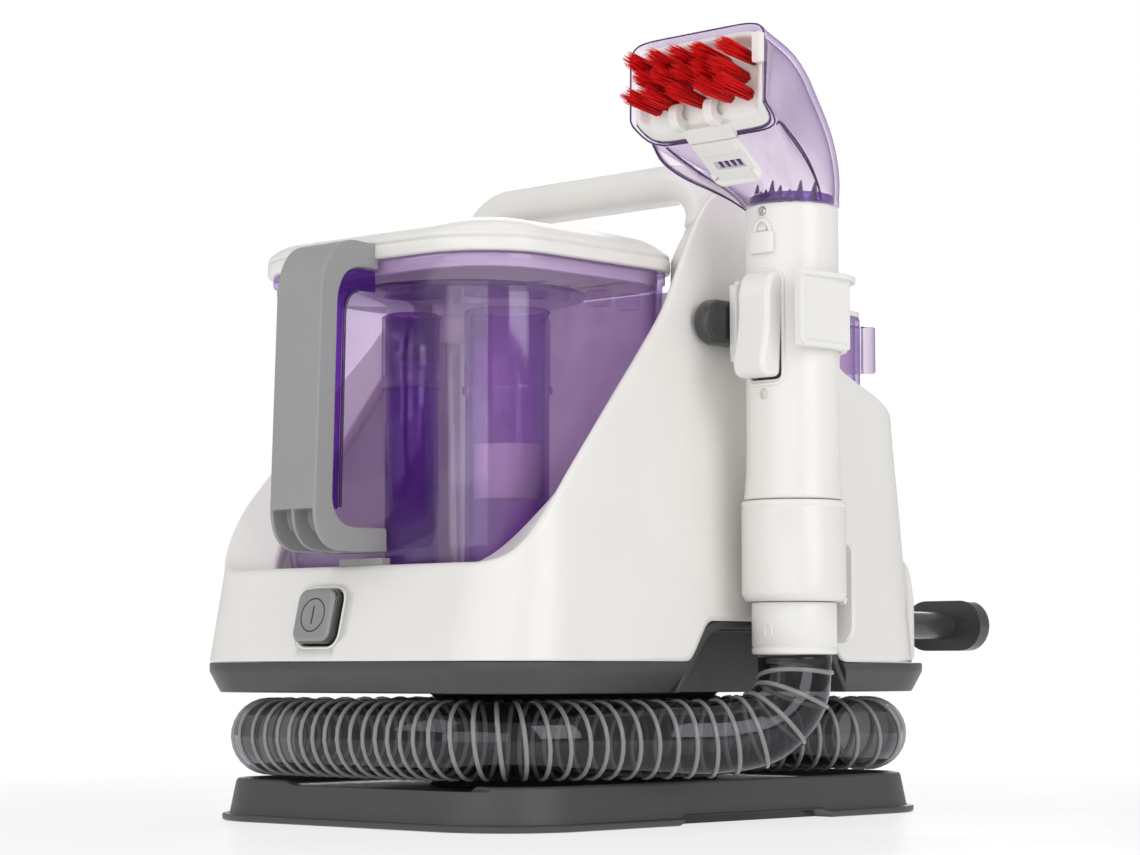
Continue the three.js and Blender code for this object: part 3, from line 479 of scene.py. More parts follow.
def rounded_outline(points, radius, steps=6):
    """A polygon with each corner replaced by a curve that starts radius away from it."""
    out = []
    n = len(points)
    radii = radius if isinstance(radius, (list, tuple)) else [radius] * n
    for i in range(n):
        here = np.array(points[i], float)
        before = np.array(points[i - 1], float) - here
        after = np.array(points[(i + 1) % n], float) - here
        r = min(radii[i], 0.49 * np.linalg.norm(before), 0.49 * np.linalg.norm(after))
        a = here + before / np.linalg.norm(before) * r
        b = here + after / np.linalg.norm(after) * r
        if r < 0.05:
            out.append(tuple(here))
            continue
        for t in np.linspace(0, 1, steps + 1):
            out.append(tuple((1 - t) ** 2 * a + 2 * t * (1 - t) * here + t * t * b))
    return out


def divided(outline, parts_of):
    """An outline whose sides are cut into as many parts as parts_of gives for their length."""
    dense = []
    for i, here in enumerate(outline):
        after = outline[(i + 1) % len(outline)]
        parts = parts_of(math.dist(here, after))
        way = np.array(after) - np.array(here)
        dense += [tuple(np.array(here) + way * k / parts) for k in range(parts)]
    return dense


def rounded_box(half_u, half_v, radius, steps=8):
    """A box round the origin with true round corners."""
    points = []
    for u, v, start in ((1, 1, 0), (-1, 1, 90), (-1, -1, 180), (1, -1, 270)):
        points += arc(u * (half_u - radius), v * (half_v - radius), radius, start, start + 90, steps)
    return points


def stadium(u0, u1, v0, v1, steps):
    r = (v1 - v0) / 2
    return arc(u1 - r, v0 + r, r, -90, 90, steps) + arc(u0 + r, v0 + r, r, 90, 270, steps)


def cut_with(piece, *tools):
    """Cuts the tools out of a piece and removes them."""
    for cutter in tools:
        step = piece.modifiers.new("cut", "BOOLEAN")
        step.object = cutter
        step.operation = "DIFFERENCE"
        step.solver = "EXACT"
        bpy.context.view_layer.objects.active = piece
        bpy.ops.object.modifier_apply(modifier=step.name)
        bpy.data.objects.remove(cutter)
    piece.data.shade_smooth()
    return piece


def smooth_step(t):
    s = min(max(t, 0.0), 1.0)
    return s * s * (3 - 2 * s)


def eased(knots, softness):
    """A function that follows straight runs between knots, with their corners softened."""
    us = np.arange(knots[0][0] - 40, knots[-1][0] + 40, 1.0)
    vs = np.interp(us, [k[0] for k in knots], [k[1] for k in knots])
    reach = np.arange(-math.ceil(3 * softness), math.ceil(3 * softness) + 1)
    weights = np.exp(-0.5 * (reach / softness) ** 2)
    padded = np.pad(vs, len(reach) // 2, mode="edge")
    soft = np.convolve(padded, weights / weights.sum(), mode="valid")
    return lambda u: float(np.interp(u, us, soft))


def keep(node, material):
    """Gives a CAD node that stays its material and soft edges."""
    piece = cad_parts[node]
    piece.data.materials.clear()
    piece.data.materials.append(material)
    piece.data.shade_smooth()
    weld = piece.modifiers.new("weld", "WELD")
    weld.merge_threshold = 1e-5
    round_edges(piece, 0.6, 2, 35)


def stand_in(piece, slot, *nodes):
    """Hides the CAD nodes that a piece takes the place of; the material slot it is given is not used."""
    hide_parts(*nodes)


# ------------------------------------------------------------------ suction hose
# Each lane is the hose's rounded rectangle: half its width, half its depth and its corner radius.
HOSE_R = 18.0
HOSE_Z = 39.0
OUTER_LANE = (92, 143.5, 46)
INNER_LANE = (47.5, 99.5, 40)
WAND_X, WAND_Y = 133.8, 1.5
RIB_PITCH, WIRE_R = 9.2, 1.15


def lane_corner(lane, sx, sy, start, end):
    x, y, r = lane
    points = []
    for k in range(4):
        angle = math.radians(start + (end - start) * k / 3)
        points.append((sx * (x - r) + r * math.cos(angle), sy * (y - r) + r * math.sin(angle), HOSE_Z))
    return points


HOSE_ROUTE = [
    (8, INNER_LANE[1], HOSE_Z), *lane_corner(INNER_LANE, -1, 1, 90, 180), (-INNER_LANE[0], 0, HOSE_Z),
    *lane_corner(INNER_LANE, -1, -1, 180, 270), *lane_corner(INNER_LANE, 1, -1, 270, 360),
    (48.5, -28, HOSE_Z), (56, 12, HOSE_Z), (74, 48, HOSE_Z),
    *lane_corner(OUTER_LANE, 1, 1, 10, 90), *lane_corner(OUTER_LANE, -1, 1, 90, 180), (-85, 0, HOSE_Z),
    *lane_corner(OUTER_LANE, -1, -1, 180, 270), *lane_corner(OUTER_LANE, 1, -1, 270, 340),
    (97, -85, HOSE_Z), (105.5, -58, HOSE_Z), (117.5, -33, 39.5), (129, -14, 44.5), (134.2, -2.5, 57),
    (WAND_X, WAND_Y, 69), (WAND_X, WAND_Y, 76.7)]


def helix(path, radius, pitch, length, steps_a_turn=24):
    """Points of a helix round a path, whose pitch drifts a little, as on a used hose."""
    _, u, v = frames_along(path)
    run = np.linspace(0, length, len(path))
    turns = int(length / pitch)
    s = np.linspace(0.3 * pitch, length - 0.3 * pitch, turns * steps_a_turn)
    drift = 14.0 * np.sin(s / 58.0) + 0.7 * np.sin(s / 11.0 + 1.0)
    pick = [np.stack([np.interp(s, run, a[:, k]) for k in range(3)], 1) for a in (path, u, v)]
    angle = 2 * math.pi * (s + drift) / pitch
    return pick[0] + radius * (np.cos(angle)[:, None] * pick[1] + np.sin(angle)[:, None] * pick[2])


def add_hose():
    fine, length = curve_through(HOSE_ROUTE, 840)
    s = np.linspace(0, length, len(fine))
    slack = HOSE_R - WIRE_R + 0.12 * np.sin(s / 17.0)
    tube = rings("hose_tube", tube_points(fine, slack, 32), HOSE_CLEAR, None)
    wire_path = helix(fine, HOSE_R - 1.1, RIB_PITCH, length)
    wire = rings("hose_wire", tube_points(wire_path, WIRE_R, 7), HOSE_RIB, None)
    for piece in (tube, wire):
        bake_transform(piece)
    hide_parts("hose")


# ------------------------------------------------------------------ base tray
HALF_X, HALF_Y, BASE_CORNER = 107.0, 158.5, 45.0
DECK, BASE_TOP = 15.5, 19.5


def add_base():
    def inset(d, z):
        return round_ring(-HALF_X + d, HALF_X - d, -HALF_Y + d, HALF_Y - d, BASE_CORNER - d, z, 14)

    steps = [(1.0, 0), (0.2, 0.4), (0, 1.2), (0, 2.6), (0.5, 3.1), (3.2, 3.3), (3.6, 4.0), (6.4, 18),
             (7.2, 19.2), (8.2, BASE_TOP), (10.2, BASE_TOP), (11, 18.6), (12, 16.2), (13.5, DECK)]
    tray = stack("tray_shell", inset, steps, CHASSIS_GREY, "root")
    slot_height, depth = 4.5, 12
    slot = [(-48, -1), (65, -1), (64, 1), (59, slot_height), (-41, slot_height), (-46, 1)]
    slot_tool = tool("X", slot, HALF_X - depth, HALF_X + 2)
    dip = [(-46, 21), (-44, BASE_TOP), (-36, BASE_TOP - 2.2), (83, BASE_TOP - 2.2), (91, BASE_TOP), (93, 21)]
    dip_tool = tool("Y", dip, -HALF_Y - 2, -HALF_Y + 13)
    pads = []
    for sx in (-1, 1):
        for sy in (-1, 1):
            pads.append(tool("Z", circle(sx * 80, sy * 125, 9.3), -1, 3.3))
        for y in (-70, 0, 70):
            x = sx * 46
            pads.append(tool("Z", box(x - 34, x + 34, y - 30, y + 30), -1, DECK - 3))
    cut_with(tray, slot_tool, dip_tool, *pads)
    round_edges(tray, 0.5, 2, 40)
    stand_in(tray, "chassis_grey", "base_tray")
    x0, x1 = HALF_X - depth - 0.4, HALF_X - 1.2
    lining = [(x0, 0.3), (x0 + 0.8, 0.3), (x0 + 0.8, slot_height - 0.5), (x1, slot_height - 0.5),
              (x1, slot_height + 0.3), (x0, slot_height + 0.3)]
    prism("slot_lining", "Y", lining, -40.5, 58.5, BLACK, "root")


# ------------------------------------------------------------------ chassis with its hose recess
RECESS_BACK, RECESS_TOP, RECESS_FOOT = 77.0, 92.0, 54.5
RECESS_LOW, RECESS_HIGH = (-53.0, 75.0), (-31.0, 57.0)
CHASSIS_BOTTOM, CHASSIS_TOP = 59.5, 73.5
CHASSIS_HALF, CHASSIS_FRONT, CHASSIS_REAR, CHASSIS_CORNER = 110.5, -161.5, 158.5, 40.0


def recess_outline(grow, low=CHASSIS_BOTTOM):
    (a, b), (c, d) = RECESS_LOW, RECESS_HIGH
    slope = (c - a) / (RECESS_TOP - CHASSIS_BOTTOM)
    drop = CHASSIS_BOTTOM - low
    corners = [(a - slope * drop - grow, low), (b + slope * drop + grow, low), (d + grow, RECESS_TOP + grow),
               (c - grow, RECESS_TOP + grow)]
    return rounded_outline(corners, [0, 0, 10, 10], 8)


def add_chassis():
    def level(d, z):
        return round_ring(-CHASSIS_HALF + d, CHASSIS_HALF - d, CHASSIS_FRONT + d, CHASSIS_REAR - d,
                          CHASSIS_CORNER - d, z, 14)

    steps = [(5.6, 59.5), (4.9, 60.2), (0.8, 67.9), (0.1, 69.2), (0, 70.4), (0, 72.9), (0.5, 73.5),
             (6.5, 73.5), (6.5, 62.5)]
    band = stack("chassis_band", level, steps, CHASSIS_GREY, "root")
    cut_with(band, tool("X", recess_outline(0.3, RECESS_FOOT), RECESS_BACK - 0.3, CHASSIS_HALF + 5))
    round_edges(band, 0.4, 2, 45)
    stand_in(band, "chassis_grey", "lower_chassis")
    front = CHASSIS_HALF - 1.6
    pocket = prism("recess_shell", "X", recess_outline(0), RECESS_BACK, front, CHASSIS_GREY, "root")
    cut_with(pocket, tool("X", recess_outline(-3.4, RECESS_FOOT), RECESS_BACK + 4, CHASSIS_HALF + 5))
    round_edges(pocket, 1.1, 3, 40)
    stand_in(pocket, "chassis_grey", "hose_recess")


# ------------------------------------------------------------------ housing
SILL = 115.0
DRAFT = 0.24
BODY_REAR = 150.0
SKIN = 3.0
# The body's top edge, as (y, z): the sill, the sweep up the side, the tower and the fall to the back.
EDGE = [(-157, SILL), (-151, 115.8), (-146, 118.5), (-140, 126), (-134, 135.5), (-127, 145), (-108, 166.5),
        (-82, 195.5), (-67, 212), (-46.5, 234), (-34.5, 252), (-22.5, 270), (-13, 283.5), (-5, 292.5),
        (3, 297), (24, 297), (32, 286), (45, 255), (62, 232), (82, 216), (111, 204), (130, 197), (144, 190)]
edge_height = eased(EDGE, 4.5)
recess_rise = eased([(-44, 0), (-31, 1), (57, 1), (68, 0)], 2.0)


def housing_half(z):
    return CHASSIS_HALF - 0.07 * (z - CHASSIS_TOP) - 6 * smooth_step((z - 200) / 110)


def body_point(part, f, z, side=0.0, front=0.0, rear=0.0, corner=0.0):
    """A point of the body's outside, or of a surface inside it, at place f along a part of its outline."""
    rise = min(z, SILL + 1) - CHASSIS_TOP
    half_x = housing_half(z) - side
    y_front = CHASSIS_FRONT + DRAFT * rise + front
    y_rear = BODY_REAR - 0.035 * (z - CHASSIS_TOP) - rear
    r_front = max(CHASSIS_CORNER - 0.18 * rise - corner, 6)
    r_rear = CHASSIS_CORNER - rear
    if part == "front":
        return f * (half_x - r_front), y_front
    if part == "front_corner":
        angle = math.radians((f - 1) * 90)
        return half_x - r_front + r_front * math.cos(angle), y_front + r_front + r_front * math.sin(angle)
    if part == "side":
        return half_x, y_front + r_front + f * (y_rear - r_rear - y_front - r_front)
    if part == "rear_corner":
        angle = math.radians(f * 90)
        return half_x - r_rear + r_rear * math.cos(angle), y_rear - r_rear + r_rear * math.sin(angle)
    return (1 - f) * (half_x - r_rear), y_rear


def add_rear_panel():
    """The raised panel low on the back, with rounded corners and a top that fades into the wall."""
    wall = BODY_REAR + 0.2
    face = eased([(60, 157.5), (104, 157.5), (114, 155.3), (124.5, 152.2), (129, 150.9), (140, 150.9)], 1.5)

    def level(inset, share):
        corners = box(-88 + inset, 88 - inset, 74 + inset, 128.5 - inset)
        outline = rounded_outline(corners, [4, 4, 13, 13], 10)
        outline = divided(outline, lambda length: 6 if length > 15 else 1)
        return [(x, wall + share * (face(z) - wall), z) for x, z in outline]

    steps = [(0, 0), (0, 0.72), (0.5, 0.88), (1.5, 0.97), (3.0, 1), (9, 1), (18, 1), (26, 1)]
    stand_in(stack("back_panel", level, steps, WHITE, "root"), "white_shell", "rear_panel")


def outline_stations():
    """Places round the body's right half, closer together beside the recess's two sloping sides."""
    front, rear = CHASSIS_FRONT + CHASSIS_CORNER, BODY_REAR - CHASSIS_CORNER
    plain = [y for y in np.arange(front, rear, 3.0) if not (-48 < y < -27 or 53 < y < 72)]
    ys = sorted(plain + list(np.arange(-48, -26.9, 1.4)) + list(np.arange(53, 72.1, 1.4)))
    stations = [("front", k / 10) for k in range(10)]
    stations += [("front_corner", k / 16) for k in range(16)]
    stations += [("side", (y - front) / (rear - front)) for y in ys]
    stations += [("rear_corner", k / 12) for k in range(12)]
    stations += [("rear", k / 8) for k in range(9)]
    return stations


def top_of(part, f):
    """The height of the body's top edge at one place. It takes steps, as the side leans in with height."""
    if part == "front":
        return edge_height(-151)
    if part == "rear":
        return edge_height(BODY_REAR)
    z = 180.0
    for _ in range(30):
        z += 0.5 * (edge_height(body_point(part, f, z)[1]) - z)
    return z


def lip_inset(part, y, z):
    """How far the rolled edge reaches in: wide beside the front tank, as thin as the skin behind it."""
    behind = 1.0 if part in ("rear", "rear_corner") else smooth_step((y + 10) / 8)
    beside = housing_half(z) - 82 - 4 * min(max((z - 118) / 100, 0), 1)
    return {"side": beside + (3 - beside) * behind, "front": 7.5, "rear": 3.0, "corner": -8.0}


def housing_column(part, f, side):
    """The points of the wall at one place: up its outside, over the rolled edge and down its inside."""
    top = top_of(part, f)
    foot_y = body_point(part, f, CHASSIS_TOP)[1]
    opening = recess_rise(foot_y) if side > 0 and part == "side" else 0.0
    low = CHASSIS_TOP + 0.3 + opening * (RECESS_TOP - CHASSIS_TOP)
    lip = lip_inset(part, body_point(part, f, top)[1], top)
    drop = 4 * (1 - smooth_step((top - SILL) / 110))
    width = min(lip["side"], lip["front"] if part != "side" else 99, lip["rear"] if "rear" in part else 99)
    r = min(2.6, 0.46 * width)
    skin = dict.fromkeys(("side", "front", "rear", "corner"), SKIN)

    def at(z, inset=None, less=0.0):
        given = {k: v - less for k, v in inset.items()} if inset else {k: -less for k in skin}
        x, y = body_point(part, f, z, **given)
        return (side * x, y, z)

    heights = [low + (top - r - low) * k for k in (0, 0.02, 0.15, 0.3, 0.45, 0.6, 0.75, 0.9, 0.97)]
    turns = [math.radians(22.5 * k) for k in range(5)]
    outer = [at(top - r + r * math.sin(a), None, -r * (1 - math.cos(a))) for a in turns]
    inner = [at(top - drop - r * (1 - math.sin(a)), lip, r * (1 - math.cos(a))) for a in reversed(turns)]
    under = top - drop - 21
    return ([at(z) for z in heights] + outer + inner + [at(top - drop - 12, lip)]
            + [at(min(z, under), skin) for z in reversed(heights)])


BUTTON = {"x": -13.4, "z": 93.5, "half": 12.5, "corner": 5.0, "proud": 5.0}


def button_frame():
    """The place of the button's seat: x across, y up along the leaning front wall, z outward."""
    wall_y = CHASSIS_FRONT + DRAFT * (BUTTON["z"] - CHASSIS_TOP)
    turn = Matrix.Rotation(math.pi / 2 - math.atan(DRAFT), 4, "X")
    return Matrix.Translation((BUTTON["x"], wall_y, BUTTON["z"])) @ turn


def add_housing():
    half = outline_stations()
    right = [housing_column(part, f, 1) for part, f in half]
    left = [housing_column(part, f, -1) for part, f in half[1:-1]]
    around = right + left[::-1]
    rows = [[column[k] for column in around] for k in range(len(around[0]))]
    shell = rings("body_shell", rows, WHITE, "root", closed_rows=True)
    seat = button_frame()
    size, r = BUTTON["half"], BUTTON["corner"]
    cut_with(shell, seated_tool(seat, rounded_box(size + 2.3, size + 2.3, r + 2), -8, 4))
    stand_in(shell, "white_shell", "outer_housing")
    add_rear_panel()
    add_button(seat, size, r)


def add_button(seat, size, r):
    """The button: a white seat ring, a glossy dark skirt, a grey cap, and a ring and bar on its face."""
    def levels(steps):
        return seated(seat, [(rounded_box(size + d, size + d, r + e), w) for d, e, w in steps])

    ring = levels([(2.2, 2.2, -2.5), (2.2, 2.2, 0.1), (1.7, 1.7, 0.45), (1.0, 1.0, 0.1), (0.5, 0.5, -1.2),
                   (0.5, 0.5, -2.5)])
    stand_in(rings("button_ring", ring, WHITE, "root", closed_rows=True), "white_trim", "button_bezel")
    proud = BUTTON["proud"]
    side = levels([(0, 0, -4), (0, 0, proud - 2.0), (-0.35, -0.3, proud - 1.1), (-4, -2, proud - 1.1)])
    rings("button_skirt", side, BUTTON_SIDE, "button")
    face = levels([(-0.3, -0.3, proud - 1.2), (-0.7, -0.5, proud - 0.6), (-1.5, -1.0, proud - 0.1),
                   (-2.2, -1.4, proud), (-4, -2.2, proud)])
    stand_in(rings("button_cap", face, BUTTON_GREY, "button"), "handle_grey", "power_button")
    ring_rows = [(circle(0, 0, 7.6 + 0.32 * math.cos(t), 60), proud + 0.2 * math.sin(t))
                 for t in even_turns(8)]
    mark = rings("power_mark_ring", seated(seat, ring_rows), BLACK, "button", closed_rows=True)
    half, reach = 0.42, 4.3
    upright = arc(0, reach - half, half, 0, 180, 8) + arc(0, half - reach, half, 180, 360, 8)
    bar = seated_prism("power_mark_bar", seat, upright, proud - 0.7, proud + 0.15, BLACK, "button")
    round_edges(bar, 0.12, 2)


# ------------------------------------------------------------------ carry handle
def add_carry_handle():
    """A hoop over the body: its feet widen into the two towers, and its corners turn into a level grip."""
    y0, leg, crown, bend = 14.0, 77.5, 305.0, 25.0
    path = [(-leg - 3.0, 8, 236.5), (-leg - 3.0, 8, 262), (-leg - 2.6, 10.5, 272), (-leg - 1.4, 13, 281)]
    for k in range(13):
        angle = math.radians(180 - 90 * k / 12)
        path.append((-leg + bend + bend * math.cos(angle), y0, crown - bend + bend * math.sin(angle)))
    path.append((-leg + 45, y0, crown))
    path.append((0, y0, crown))
    halves = eased([(236, 26), (262, 26), (275, 21), (288, 16), (297, 14), (310, 14)], 3.0)
    sections = []
    full = path + [(-x, y, z) for x, y, z in reversed(path[:-1])]
    across, radius, thick = Vector((0, 1, 0)), 8.2, 9.0
    for i, (x, y, z) in enumerate(full):
        deep = heading(full, i).cross(across).normalized()
        outline = rounded_box(halves(z), thick, radius, 6)
        sections.append([tuple(Vector((x, y, z)) + across * u + deep * v) for u, v in outline])
    stand_in(rings("hoop_handle", sections, WHITE, "root"), "white_shell", "carry_handle")


# ------------------------------------------------------------------ front tank
TANK_FLOOR, TANK_RIM, TANK_BULGE = 112.0, 255.0, 5
INLET, AIR_PIPE, PIPE_FOOT = (-34.0, -80.0), (10.0, -60.0), 115.4


def tank_level(d, z):
    k = (z - TANK_FLOOR) / (TANK_RIM - TANK_FLOOR)
    x = 76 + 6 * k - d
    return round_ring(-x, x, -136 - 7 * k + d, -10 + 2 * k - d, 33 + 2 * k - d, z, 14, TANK_BULGE, 12)


def lid_level(d, z):
    half = 85.3 - d
    return round_ring(-half, half, -146 + d, -6 - d, max(36 - d, 5), z, 14, max(TANK_BULGE - d / 6, 1), 12)


def add_front_tank():
    walls = [(5, 112), (2.2, 112.5), (0.6, 114), (0, 116.5)] + [(0, z) for z in range(125, 250, 14)]
    drops = ((0, 5.4), (-1.2, 4.6), (-1.5, 3.8), (-1.5, 0.4), (-1.1, 0), (2.5, 0))
    rim = [(d, TANK_RIM - drop) for d, drop in drops]
    inside = [(2.5, 240), (2.5, 200), (2.5, 160), (2.5, 119), (3.4, 116.2), (5.5, 115)]
    tank = stack("tank_shell", tank_level, walls + rim + inside, PURPLE, "front_tank")
    stand_in(tank, "purple_clear", "dirty_tank")
    dome = [(42, 274.0), (34, 273.9), (27, 273.4), (20, 272.6), (13, 271), (8, 269.2), (4.6, 267.4),
            (2.4, 265.8), (1.1, 264.4), (0.4, 263.2), (0.3, 262.2), (1.0, 261.9), (1.0, 261.3), (0.1, 261.0),
            (0, 260), (0, 256.2), (0.5, 255.4), (6.5, 255.3), (7.2, 256), (8, 262.5), (14, 266), (24, 268.5),
            (42, 270)]
    stand_in(stack("lid_shell", lid_level, dome, WHITE, "front_lid"), "white_shell", "tank_lid")
    add_inlet()
    wide = [(20, PIPE_FOOT), (20, 199), (21.6, 200.5), (21.6, 203), (20.6, 204), (20.6, 239.4), (20, 240),
            (18.4, 240), (18, 239.4), (18, PIPE_FOOT)]
    stand_in(turned("air_pipe", wide, *AIR_PIPE, MID_PURPLE, "front_tank"), "purple_clear", "air_tube")
    add_tank_shelf()


def add_inlet():
    """The narrow pipe up from the tank's floor, with a clear sleeve and crossed vanes at its head."""
    profile = [(13, PIPE_FOOT), (13, 239.4), (12.5, 240), (11.4, 240), (11, 239.4), (11, PIPE_FOOT)]
    stand_in(turned("inlet_pipe", profile, *INLET, TUBE_PURPLE, "front_tank"), "purple_clear", "inlet_tube")
    sleeve = [(13.3, 204), (14.6, 204.4), (14.9, 205.4), (14.9, 238), (14.4, 239), (13.3, 239)]
    turned("inlet_sleeve", sleeve, *INLET, LILAC, "front_tank")
    reach, half = 10.6, 0.6
    for k, (low, high) in enumerate(((218, 238.5), (218.2, 238.2))):
        turn = math.radians(35 + 90 * k)
        u, v = math.cos(turn), math.sin(turn)
        flat = [(INLET[0] + a * u - b * v, INLET[1] + a * v + b * u)
                for a, b in ((reach, half), (-reach, half), (-reach, -half), (reach, -half))]
        vane = prism(f"inlet_vane_{k}", "Z", flat, low, high, DEEP_PURPLE, "front_tank")


def add_tank_shelf():
    """The rounded shelf under the lid, its rolled rim, and the small tabs along the tank's right side."""
    x0, y0 = -10, -74
    plate = [(x - x0, y - y0) for x, y, _ in round_ring(-72, 52, -130, -18, 54, 0, 16)]

    def level(share, z):
        return [(x0 + share * x, y0 + share * y, z) for x, y in plate]

    steps = [(0.97, 245), (1, 245.6), (1, 247.4), (0.97, 248)]
    stand_in(stack("baffle_shelf", level, steps, PURPLE, "front_tank"), "purple_clear", "baffle")
    rim_rows = [level(1.0 + 0.014 * math.cos(t), 246.6 + 1.0 * math.sin(t)) for t in even_turns(8)]
    rim = rings("shelf_rim", rim_rows, PURPLE_RIM, "front_tank", closed_rows=True)
    for k in range(4):
        y = -104 + 20 * k
        rib = prism(f"side_rib_{k}", "Z", box(68, 77.2, y - 3.5, y + 3.5), 236.5, 244, LILAC, "front_tank")
        round_edges(rib, 0.4, 2)


def bend_points(start, control, end, steps=8):
    a, b, c = (np.array(p, float) for p in (start, control, end))
    return [tuple((1 - t) ** 2 * a + 2 * t * (1 - t) * b + t * t * c) for t in np.linspace(0, 1, steps + 1)]


def grip_outline():
    """The C of the tank's handle, seen from the side as (y, z)."""
    points = [(-142.2, 122.6)]
    points += bend_points((-172, 122.6), (-186, 124), (-186.5, 141), 10)
    points += bend_points((-183.3, 236), (-182.5, 262.5), (-162, 262.5), 14)
    points += [(-152.4, 262)]
    points += bend_points((-150.5, 261.5), (-148.4, 260), (-148.3, 254), 5)
    points += [(-148.2, 250.5)]
    points += bend_points((-158, 250.5), (-172.6, 250), (-173.2, 233), 12)
    points += bend_points((-175.5, 146), (-174, 134), (-162, 133.5), 8)
    points += [(-142.5, 133.5)]
    return points


def add_tank_handle():
    grip = prism("grip_handle", "X", grip_outline(), -15, 15, GREY, "front_tank")
    hollow = [(-190, 141), (-177.6, 141), *bend_points((-177.2, 137), (-176, 130.5), (-165, 130), 8),
              (-152, 130), (-152, 118), (-190, 118)]
    cut_with(grip, tool("X", hollow, -13, -0.9), tool("X", hollow, 0.9, 13))
    round_edges(grip, 2.0, 4, 35)
    stand_in(grip, "handle_grey", "tank_handle")
    strip = [(-174.9, 141)] + bend_points((-172.8, 232), (-172.2, 249.2), (-158, 249.8), 12)
    strip += [(-148.8, 249.8), (-148.4, 240), (-155, 240)]
    strip += bend_points((-159, 240), (-168.0, 239), (-168.4, 228), 10) + [(-170.6, 141)]
    insert = prism("grip_strip", "X", strip, -13.2, 13.2, DEEP_PURPLE, "front_tank")
    stand_in(round_edges(insert, 0.7, 3), "purple_clear", "handle_insert")
    edge = [(14.0, y, z) for y, z in strip[-11:-1]] + [(14.0, -170.4, 142)]
    bead("grip_strip_edge", edge, 0.8, PURPLE_RIM, "front_tank")


# ------------------------------------------------------------------ rear tank
def add_rear_tank():
    def level(d, z):
        return round_ring(-78 + d, 78 - d, 64 + d, 141 - d, 22 - min(d, 18), z, 12)

    steps = [(5, 112), (2, 112.5), (0.6, 114), (0, 117), (0, 150), (0, 190), (0, 225), (0, 247.3),
             (0.5, 248), (2, 248), (2.5, 247.3), (2.5, 225), (2.5, 190), (2.5, 150), (2.5, 118), (3.4, 116),
             (5.5, 115)]
    tank = stack("rear_tank_shell", level, steps, PURPLE, "rear_tank")
    stand_in(tank, "purple_clear", "clean_tank")
    add_rear_loop()


def add_rear_loop():
    """The rear tank's flat loop: both ends leave the tank's back wall, and its middle stands highest."""
    root, tip, half, z0 = 141.3, 187.0, 50.0, 236.0
    path = [(-half, root, z0), (-half, root + 8, z0)]
    for k in range(1, 24):
        angle = math.radians(180 - 7.5 * k)
        step = k / 2
        reach = 158 + (tip - 158) * math.sqrt(math.sin(angle))
        path.append((half * math.cos(angle), reach, z0 + step * (12 - step) / 9))
    path += [(half, root + 8, z0), (half, root, z0)]
    smooth_path, _ = curve_through(path, 90)
    ring = rounded_outline(box(-12.5, 12.5, -3.2, 3.2), 1.4, 4)
    sections, rim_line = [], []
    for i, point in enumerate(smooth_path):
        out = heading(smooth_path, i).cross(UP).normalized()
        sections.append([tuple(Vector(point) + UP * u + out * v) for u, v in ring])
        rim_line.append(Vector(point) + UP * 12.4 + out * 2.2)
    bead("rear_loop_edge", rim_line, 0.5, PURPLE_RIM, "rear_tank")
    stand_in(rings("rear_loop", sections, LILAC, "rear_tank"), "purple_clear", "clean_tank_handle")


# ------------------------------------------------------------------ wand, clip and nozzle
WAND_R, WAND_BORE, SWIVEL_R = 21.5, 17.0, 19.5


def add_wand():
    x, y, r, bore = WAND_X, WAND_Y, WAND_R, WAND_BORE
    profile = [(bore, 147.6), (bore + 0.4, 147.3), (21.9, 147.3), (22.6, 147.9), (22.7, 149), (22.3, 152),
               (21.7, 160), (r, 172), (r, 252), (r, 280.6), (21.2, 282), (20.5, 282.8), (19.5, 283),
               (bore, 283)]
    barrel = turned("wand_barrel", profile, x, y, WHITE, "wand", 96)
    slot = rounded_outline(box(x - 9.7, x + 9.7, 201.5, 250.6), 4.5, 6)
    cut_with(barrel, tool("Y", slot, y - 26, y - 12), tool("Y", circle(x, 195.3, 2.6), y - 26, y - 19.4))
    round_edges(barrel, 0.5, 2, 45)
    stand_in(barrel, "white_shell", "wand_body")
    cuff = [(bore, 101.4), (bore + 0.4, 101), (21.4, 101), (22.2, 101.3), (24, 104.2), (24, 105.2),
            (24, 143.2), (23.7, 143.6), (23.7, 144.2), (24, 144.6), (24, 146.2), (23.4, 146.9), (22.6, 147),
            (bore, 147)]
    stand_in(turned("wand_sleeve", cuff, x, y, WHITE, "wand", 96), "white_shell", "wand_cuff")
    swivel = [(15, 77.3), (15.3, 77), (18.9, 77), (SWIVEL_R, 77.5), (19.6, 78.2), (19.6, 79.2),
              (SWIVEL_R, 79.6), (19.1, 79.8), (19.1, 80.3), (SWIVEL_R, 80.6), (SWIVEL_R, 100.1), (19, 100.7),
              (15, 100.7)]
    stand_in(turned("swivel_sleeve", swivel, x, y, TRIM, "swivel", 96), "white_trim", "hose_swivel")
    add_barrel_marks()
    add_trigger(x, y)
    add_clip(x, y)
    add_nozzle(x)


def on_round(radius, u, z, out):
    """A point of the wand's front: u round from the middle of its front, z up, out from its surface."""
    angle = u / radius - math.pi / 2
    return WAND_X + (radius + out) * math.cos(angle), WAND_Y + (radius + out) * math.sin(angle), z


def wrapped_frame(name, outline, radius, section, material, body):
    """A closed strip along an outline on the wand. The section gives its profile as (aside, out)."""
    rows = []
    n = len(outline)
    for i in range(n):
        before, here, after = (np.array(outline[k % n]) for k in (i - 1, i, i + 1))
        along = (after - before) / np.linalg.norm(after - before)
        aside = np.array([along[1], -along[0]])
        rows.append([on_round(radius, *(here + aside * a), out) for a, out in section])
    return rings(name, rows, material, body, closed_rows=True)


